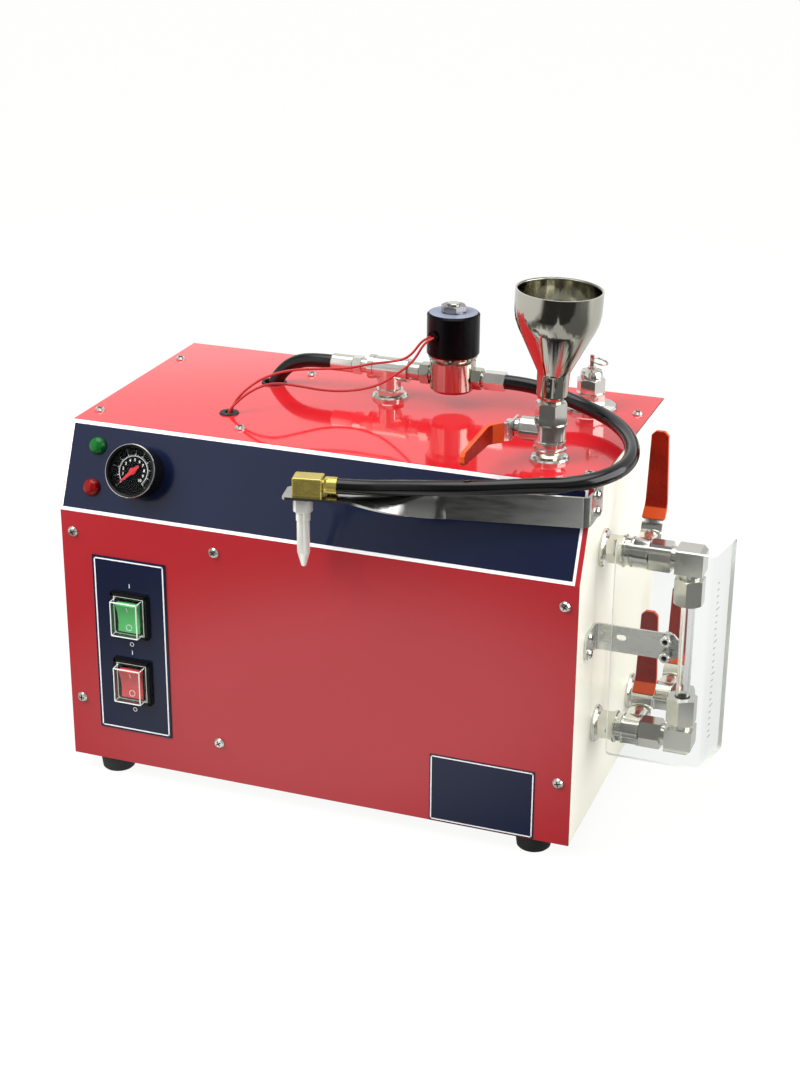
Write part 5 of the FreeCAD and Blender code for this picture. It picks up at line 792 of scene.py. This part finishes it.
necks = [(thread(*NECK_THREAD), seat((TUBE_X, GAUGE_VALVE_Y, UPPER_GAUGE_Z - ELBOW_HALF), DOWN), 0),
         (thread(*NECK_THREAD), seat((TUBE_X, GAUGE_VALVE_Y, LOWER_GAUGE_Z + ELBOW_HALF)), 0)]
piece("gauge_neck_threads", necks, [nickel])
rolled_rim = ring(29.7, 0.8, 78.9, 96, 12)
dress("funnel", stainless,
      extra=[(rolled_rim, seat(FUNNEL_FOOT) @ Matrix.Rotation(FUNNEL_LEAN, 4, "Y"), 0)])


# ---------------------------------------------------------------- levers and pulls
def dress_lever(name, body):
    """Strap lever and its vinyl grip, whose narrow sides get a lighter orange copy of the vinyl than its
    broad ones as painted highlights.
    """
    dress(name + "_lever", nickel, 0.15, body=body)
    grip = dress(name + "_lever_sleeve", grip_vinyl, 0.35, body=body, more=[grip_vinyl_painted_highlight])
    # All faces but the broad sides get the lighter orange: painted highlight.
    faces = grip.data.polygons
    facing = [sum(face.area * abs(face.normal[axis]) for face in faces) for axis in range(3)]
    broad = facing.index(max(facing))
    for face in faces:
        face.material_index = 0 if abs(face.normal[broad]) > 0.75 else 1


dress_lever("fill", "fill_valve_lever")
dress_lever("upper_gauge", "upper_gauge_valve_lever")
dress_lever("lower_gauge", "lower_gauge_valve_lever")
dress_lever("drain", "drain_valve_lever")
dress("safety_pull", stainless, body="safety_valve_pull")
dress("pull_ring", stainless, body="safety_ring")

# ---------------------------------------------------------------- guard, bracket and arm
WING_ANGLE = math.radians(9.0)
WING_OUT = Vector((math.cos(WING_ANGLE), -math.sin(WING_ANGLE), 0))
WING_ALONG = Vector((math.sin(WING_ANGLE), math.cos(WING_ANGLE), 0))
GUARD_SCALE_FOOT = 80.0
GUARD_SCALE_STEP = 5.0
GUARD_SCALE_INSET = 7.0          # from the fold to where the ticks start
GUARD_TICKS = 25
GUARD_LONG_TICK = 6.0
GUARD_SHORT_TICK = 3.5


def dress_guard():
    """Clear guard with its edge faces painted whitish as a painted highlight, and a scale of ticks on its
    wing.
    """
    pane = merged_copy("guard_pane")
    parts = [(pane, HERE, 0)]
    for number in range(GUARD_TICKS):
        fold = Vector((GUARD_FOLD_X, GUARD_MIDDLE_Y, GUARD_SCALE_FOOT + GUARD_SCALE_STEP * number))
        start = fold + WING_OUT * (GUARD_SHEET / 2) + WING_ALONG * GUARD_SCALE_INSET
        reach = GUARD_LONG_TICK if number % 5 == 0 else GUARD_SHORT_TICK
        parts.append((slab(0, reach, -0.22, 0.22, -0.02, 0.06), seat(start, WING_OUT, WING_ALONG), 2))
    guard = piece("guard_pane_finished", parts, [clear_acrylic, acrylic_edge_painted_highlight, painted_recess_shade_and_tick_print],
                  stands_for=["guard_pane"])
    low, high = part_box("guard_pane")
    for face in guard.data.polygons:
        inner_end = face.normal.x < -0.9 and face.center.x < low.x + 1 * MM
        outer_end = face.normal.dot(WING_ALONG) > 0.9 and face.center.y > high.y - 2 * MM
        # Top, bottom and end faces of the pane get the whitish painted highlight.
        if face.material_index == 0 and (abs(face.normal.z) > 0.3 or inner_end or outer_end):
            face.material_index = 1


dress("guard_bracket", brushed, 0.15)
dress_guard()
dress("nozzle_arm", arm_steel, 0.15)
dress("nozzle_elbow", brass)

# ---------------------------------------------------------------- inside the cabinet
inner_finishes = {"base_tray": zinc, "bulkhead": zinc, "boiler_tank": tank_steel, "tank_nipples": stainless,
                  "heating_element": stainless, "solenoid_plunger": stainless,
                  "pressure_switch": black_moulding}
for inner_node, inner_finish in inner_finishes.items():
    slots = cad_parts[inner_node].data.materials
    slots.clear()
    slots.append(inner_finish)

# ---------------------------------------------------------------- studio floor
# Mirrors meet a dim floor with bright cards on it: each card's brightness, then where its edges fade.
# Places are in the cabinet's millimetres, and a FRAME one is in the model's metres.
FLOOR_REACH = 8.0                # metres from its middle to each side
FLOOR_COLOUR = (0.26, 0.26, 0.25)
PAPER_WHITE = 1.21
PAPER_SHARE = 0.76
FLOOR_DIM = 0.17
FRONT_CARD = 0.95
FRONT_CARD_MIDDLE = (-50.0, -190.0, 0.0)
FRONT_CARD_FRAME_EDGE = (0.12, 0.32)
FRONT_CARD_FAR = 0.22            # share of it that is left where it fades out far in front
FRONT_CARD_FAR_Y = (-610.0, -520.0)
BEHIND_CARD = 0.85
BEHIND_FRAME_Y = (-0.10, 0.35)
LEFT_CARD = 0.90
LEFT_FRAME_X = (-0.75, -0.40)
RIGHT_CARDS = 0.62
RIGHT_END_X = (400.0, 480.0)
NEAR_CARD_X = (202.0, 226.0)
NEAR_CARD_Y = (-500.0, -450.0)
FAR_CARD_X = (125.0, 150.0)
FAR_CARD_Y = (-300.0, -270.0)
FAR_CARD_SLANT = 0.5
FAR_CARD_FADE = ((240.0, -649.0, 0.0), (276.0, -641.0, 0.0))   # dark and bright side of its slanted edge


def mirrored_floor(tree):
    """Brightness of the floor as a mirror meets it."""
    where = tree.nodes.new("ShaderNodeTexCoord").outputs["Object"]
    spot = tree.nodes.new("ShaderNodeSeparateXYZ")
    tree.links.new(where, spot.inputs["Vector"])

    def over_x(edge, low, high):
        return ramp(tree, spot.outputs["X"], metres(edge[0], 0, 0).x, metres(edge[1], 0, 0).x, low, high)

    def over_y(edge, low, high):
        return ramp(tree, spot.outputs["Y"], metres(0, edge[0], 0).y, metres(0, edge[1], 0).y, low, high)

    away = tree.nodes.new("ShaderNodeVectorMath")
    away.operation = "DISTANCE"
    tree.links.new(where, away.inputs[0])
    away.inputs[1].default_value = metres(*FRONT_CARD_MIDDLE)
    front = ramp(tree, away.outputs["Value"], *FRONT_CARD_FRAME_EDGE, FRONT_CARD, FLOOR_DIM)
    front = joined(tree, "MULTIPLY", front, over_y(FRONT_CARD_FAR_Y, FRONT_CARD_FAR, 1.0))

    slanted = joined(tree, "ADD", spot.outputs["X"],
                     joined(tree, "MULTIPLY", spot.outputs["Y"], FAR_CARD_SLANT))
    dark, bright = (metres(*place) for place in FAR_CARD_FADE)
    far = ramp(tree, slanted, dark.x + FAR_CARD_SLANT * dark.y, bright.x + FAR_CARD_SLANT * bright.y, 0.0,
               RIGHT_CARDS)
    far = joined(tree, "MINIMUM", far, over_x(FAR_CARD_X, 0.0, 1.0), over_y(FAR_CARD_Y, 1.0, 0.0))
    near = joined(tree, "MINIMUM", over_x(NEAR_CARD_X, 0.0, RIGHT_CARDS), over_y(NEAR_CARD_Y, 0.0, 1.0))
    right = joined(tree, "MULTIPLY", joined(tree, "MAXIMUM", far, near), over_x(RIGHT_END_X, 1.0, 0.0))
    behind = ramp(tree, spot.outputs["Y"], *BEHIND_FRAME_Y, 0.0, BEHIND_CARD)
    left = ramp(tree, spot.outputs["X"], *LEFT_FRAME_X, LEFT_CARD, 0.0)
    return joined(tree, "MAXIMUM", behind, front, left, right)


def floor_paint():
    """White paper to the camera and through clear pieces, cards to mirrors, grey to plain light."""
    material, tree = new_material("studio_floor_paint")
    shader = tree.nodes["Principled BSDF"]
    shader.inputs["Base Color"].default_value = (*FLOOR_COLOUR, 1)
    shader.inputs["Roughness"].default_value = 0.8
    ray = tree.nodes.new("ShaderNodeLightPath").outputs
    level = tree.nodes.new("ShaderNodeMix")
    tree.links.new(ray["Is Glossy Ray"], level.inputs["Factor"])
    level.inputs["A"].default_value = PAPER_WHITE
    tree.links.new(mirrored_floor(tree), level.inputs["B"])
    paper = tree.nodes.new("ShaderNodeEmission")
    paper.inputs["Color"].default_value = (1, 1, 0.995, 1)
    tree.links.new(level.outputs["Result"], paper.inputs["Strength"])
    seen = joined(tree, "MAXIMUM", ray["Is Camera Ray"], ray["Is Transmission Ray"])
    share = joined(tree, "MAXIMUM", joined(tree, "MULTIPLY", seen, PAPER_SHARE), ray["Is Glossy Ray"])
    whiten = tree.nodes.new("ShaderNodeMixShader")
    tree.links.new(share, whiten.inputs["Fac"])
    tree.links.new(shader.outputs["BSDF"], whiten.inputs[1])
    tree.links.new(paper.outputs["Emission"], whiten.inputs[2])
    tree.links.new(whiten.outputs["Shader"], tree.nodes["Material Output"].inputs["Surface"])
    return material


def lay_floor():
    shape = bmesh.new()
    bmesh.ops.create_grid(shape, x_segments=1, y_segments=1, size=FLOOR_REACH)
    mesh = bpy.data.meshes.new("studio_floor")
    shape.to_mesh(mesh)
    shape.free()
    mesh.materials.append(floor_paint())
    floor = bpy.data.objects.new("studio_floor", mesh)
    bpy.context.scene.collection.objects.link(floor)


lay_floor()

# ---------------------------------------------------------------- studio room
# A level, then where it fades in or out, as a direction's share along x, y or z.
CEILING = 1.2
CEILING_EDGE = (0.50, 0.90)
ROOM_DIM = 0.16
SOFT_CARD = 0.70
SOFT_CARD_EDGE = (-0.44, -0.26)
STRIP = 3.0
STRIP_EDGE = (0.82, 0.95)
STRIP_DIM = 0.12
CRISP_CARD = 0.90
CRISP_CARD_EDGE = (-0.42, -0.27)
CRISP_CARD_FADE = (-0.47, -0.40)
CRISP_CARD_END = 0.45
FRONT_EDGE = (-0.6, -0.2)
BACK_WALL = 0.52
BACK_GLOW = 1.0
BACK_EDGE = (0.2, 0.7)
BACK_FOOT_EDGE = (0.14, 0.24)
BACK_GLOW_EDGE = (0.286, 0.318)
SIDE_WALLS = 0.35


def room_light(tree, ray):
    """Brightness of the room by direction; matt faces meet it soft, and mirrors meet it crisp."""
    way = tree.nodes.new("ShaderNodeSeparateXYZ")
    tree.links.new(tree.nodes.new("ShaderNodeTexCoord").outputs["Generated"], way.inputs["Vector"])
    across, along, up = (way.outputs[axis] for axis in "XYZ")
    in_front = ramp(tree, along, *FRONT_EDGE, 1.0, 0.0)

    soft_card = joined(tree, "MULTIPLY", ramp(tree, across, *SOFT_CARD_EDGE, SOFT_CARD, 0.0), in_front)
    soft = joined(tree, "ADD", ramp(tree, up, *CEILING_EDGE, ROOM_DIM, CEILING), soft_card)
    crisp_card = joined(tree, "MULTIPLY", ramp(tree, across, *CRISP_CARD_EDGE, CRISP_CARD, 0.0), in_front,
                        ramp(tree, across, *CRISP_CARD_FADE, CRISP_CARD_END, 1.0))
    crisp = joined(tree, "ADD", ramp(tree, up, *STRIP_EDGE, STRIP_DIM, STRIP), crisp_card)
    matt = joined(tree, "LESS_THAN", ray["Is Glossy Ray"], 0.5)
    front = joined(tree, "ADD", joined(tree, "MULTIPLY", soft, matt),
                   joined(tree, "MULTIPLY", crisp, ray["Is Glossy Ray"]))

    back = joined(tree, "MULTIPLY", ramp(tree, along, *BACK_EDGE, 0.0, 1.0),
                  ramp(tree, up, *BACK_FOOT_EDGE, 0.0, 1.0),
                  ramp(tree, up, *BACK_GLOW_EDGE, BACK_GLOW, BACK_WALL))
    sides = joined(tree, "MULTIPLY", joined(tree, "ABSOLUTE", across, 0.0), SIDE_WALLS)
    return joined(tree, "ADD", front, back, sides)


def light_room():
    """World that is plain white to the camera and through clear pieces, and the room to all else."""
    world = bpy.data.worlds.new("studio")
    world.use_nodes = True
    tree = world.node_tree
    ray = tree.nodes.new("ShaderNodeLightPath").outputs
    pick = tree.nodes.new("ShaderNodeMix")
    tree.links.new(joined(tree, "MAXIMUM", ray["Is Camera Ray"], ray["Is Transmission Ray"]),
                   pick.inputs["Factor"])
    tree.links.new(room_light(tree, ray), pick.inputs["A"])
    pick.inputs["B"].default_value = 1.0
    background = tree.nodes["Background"]
    background.inputs["Color"].default_value = (1, 1, 1, 1)
    tree.links.new(pick.outputs["Result"], background.inputs["Strength"])
    bpy.context.scene.world = world


def softbox(name, place, aim, size, power, mirrored=True):
    """Square soft lamp; one that isn't mirrored lights without showing in shiny faces."""
    lamp = bpy.data.lights.new(name, "AREA")
    lamp.shape = "SQUARE"
    lamp.size = size
    lamp.energy = power
    made = bpy.data.objects.new(name, lamp)
    made.location = metres(*place)
    made.rotation_mode = "QUATERNION"
    made.rotation_quaternion = (metres(*aim) - metres(*place)).to_track_quat("-Z", "Y")
    made.visible_glossy = mirrored
    bpy.context.scene.collection.objects.link(made)


TOP_LEFT = (-900, -700, 1300)
RIGHT = (1350, 180, 600)
BOX_SIZE = 1.3
SPARK_SIZE = 0.22

light_room()
softbox("top_left_softbox", TOP_LEFT, (0, 80, 150), BOX_SIZE, 39, mirrored=False)
softbox("right_softbox", RIGHT, (100, 120, 130), BOX_SIZE, 18)
softbox("spark_lamp", TOP_LEFT, (0, 80, 150), SPARK_SIZE, 1.6)

bpy.context.scene.view_settings.view_transform = "Standard"
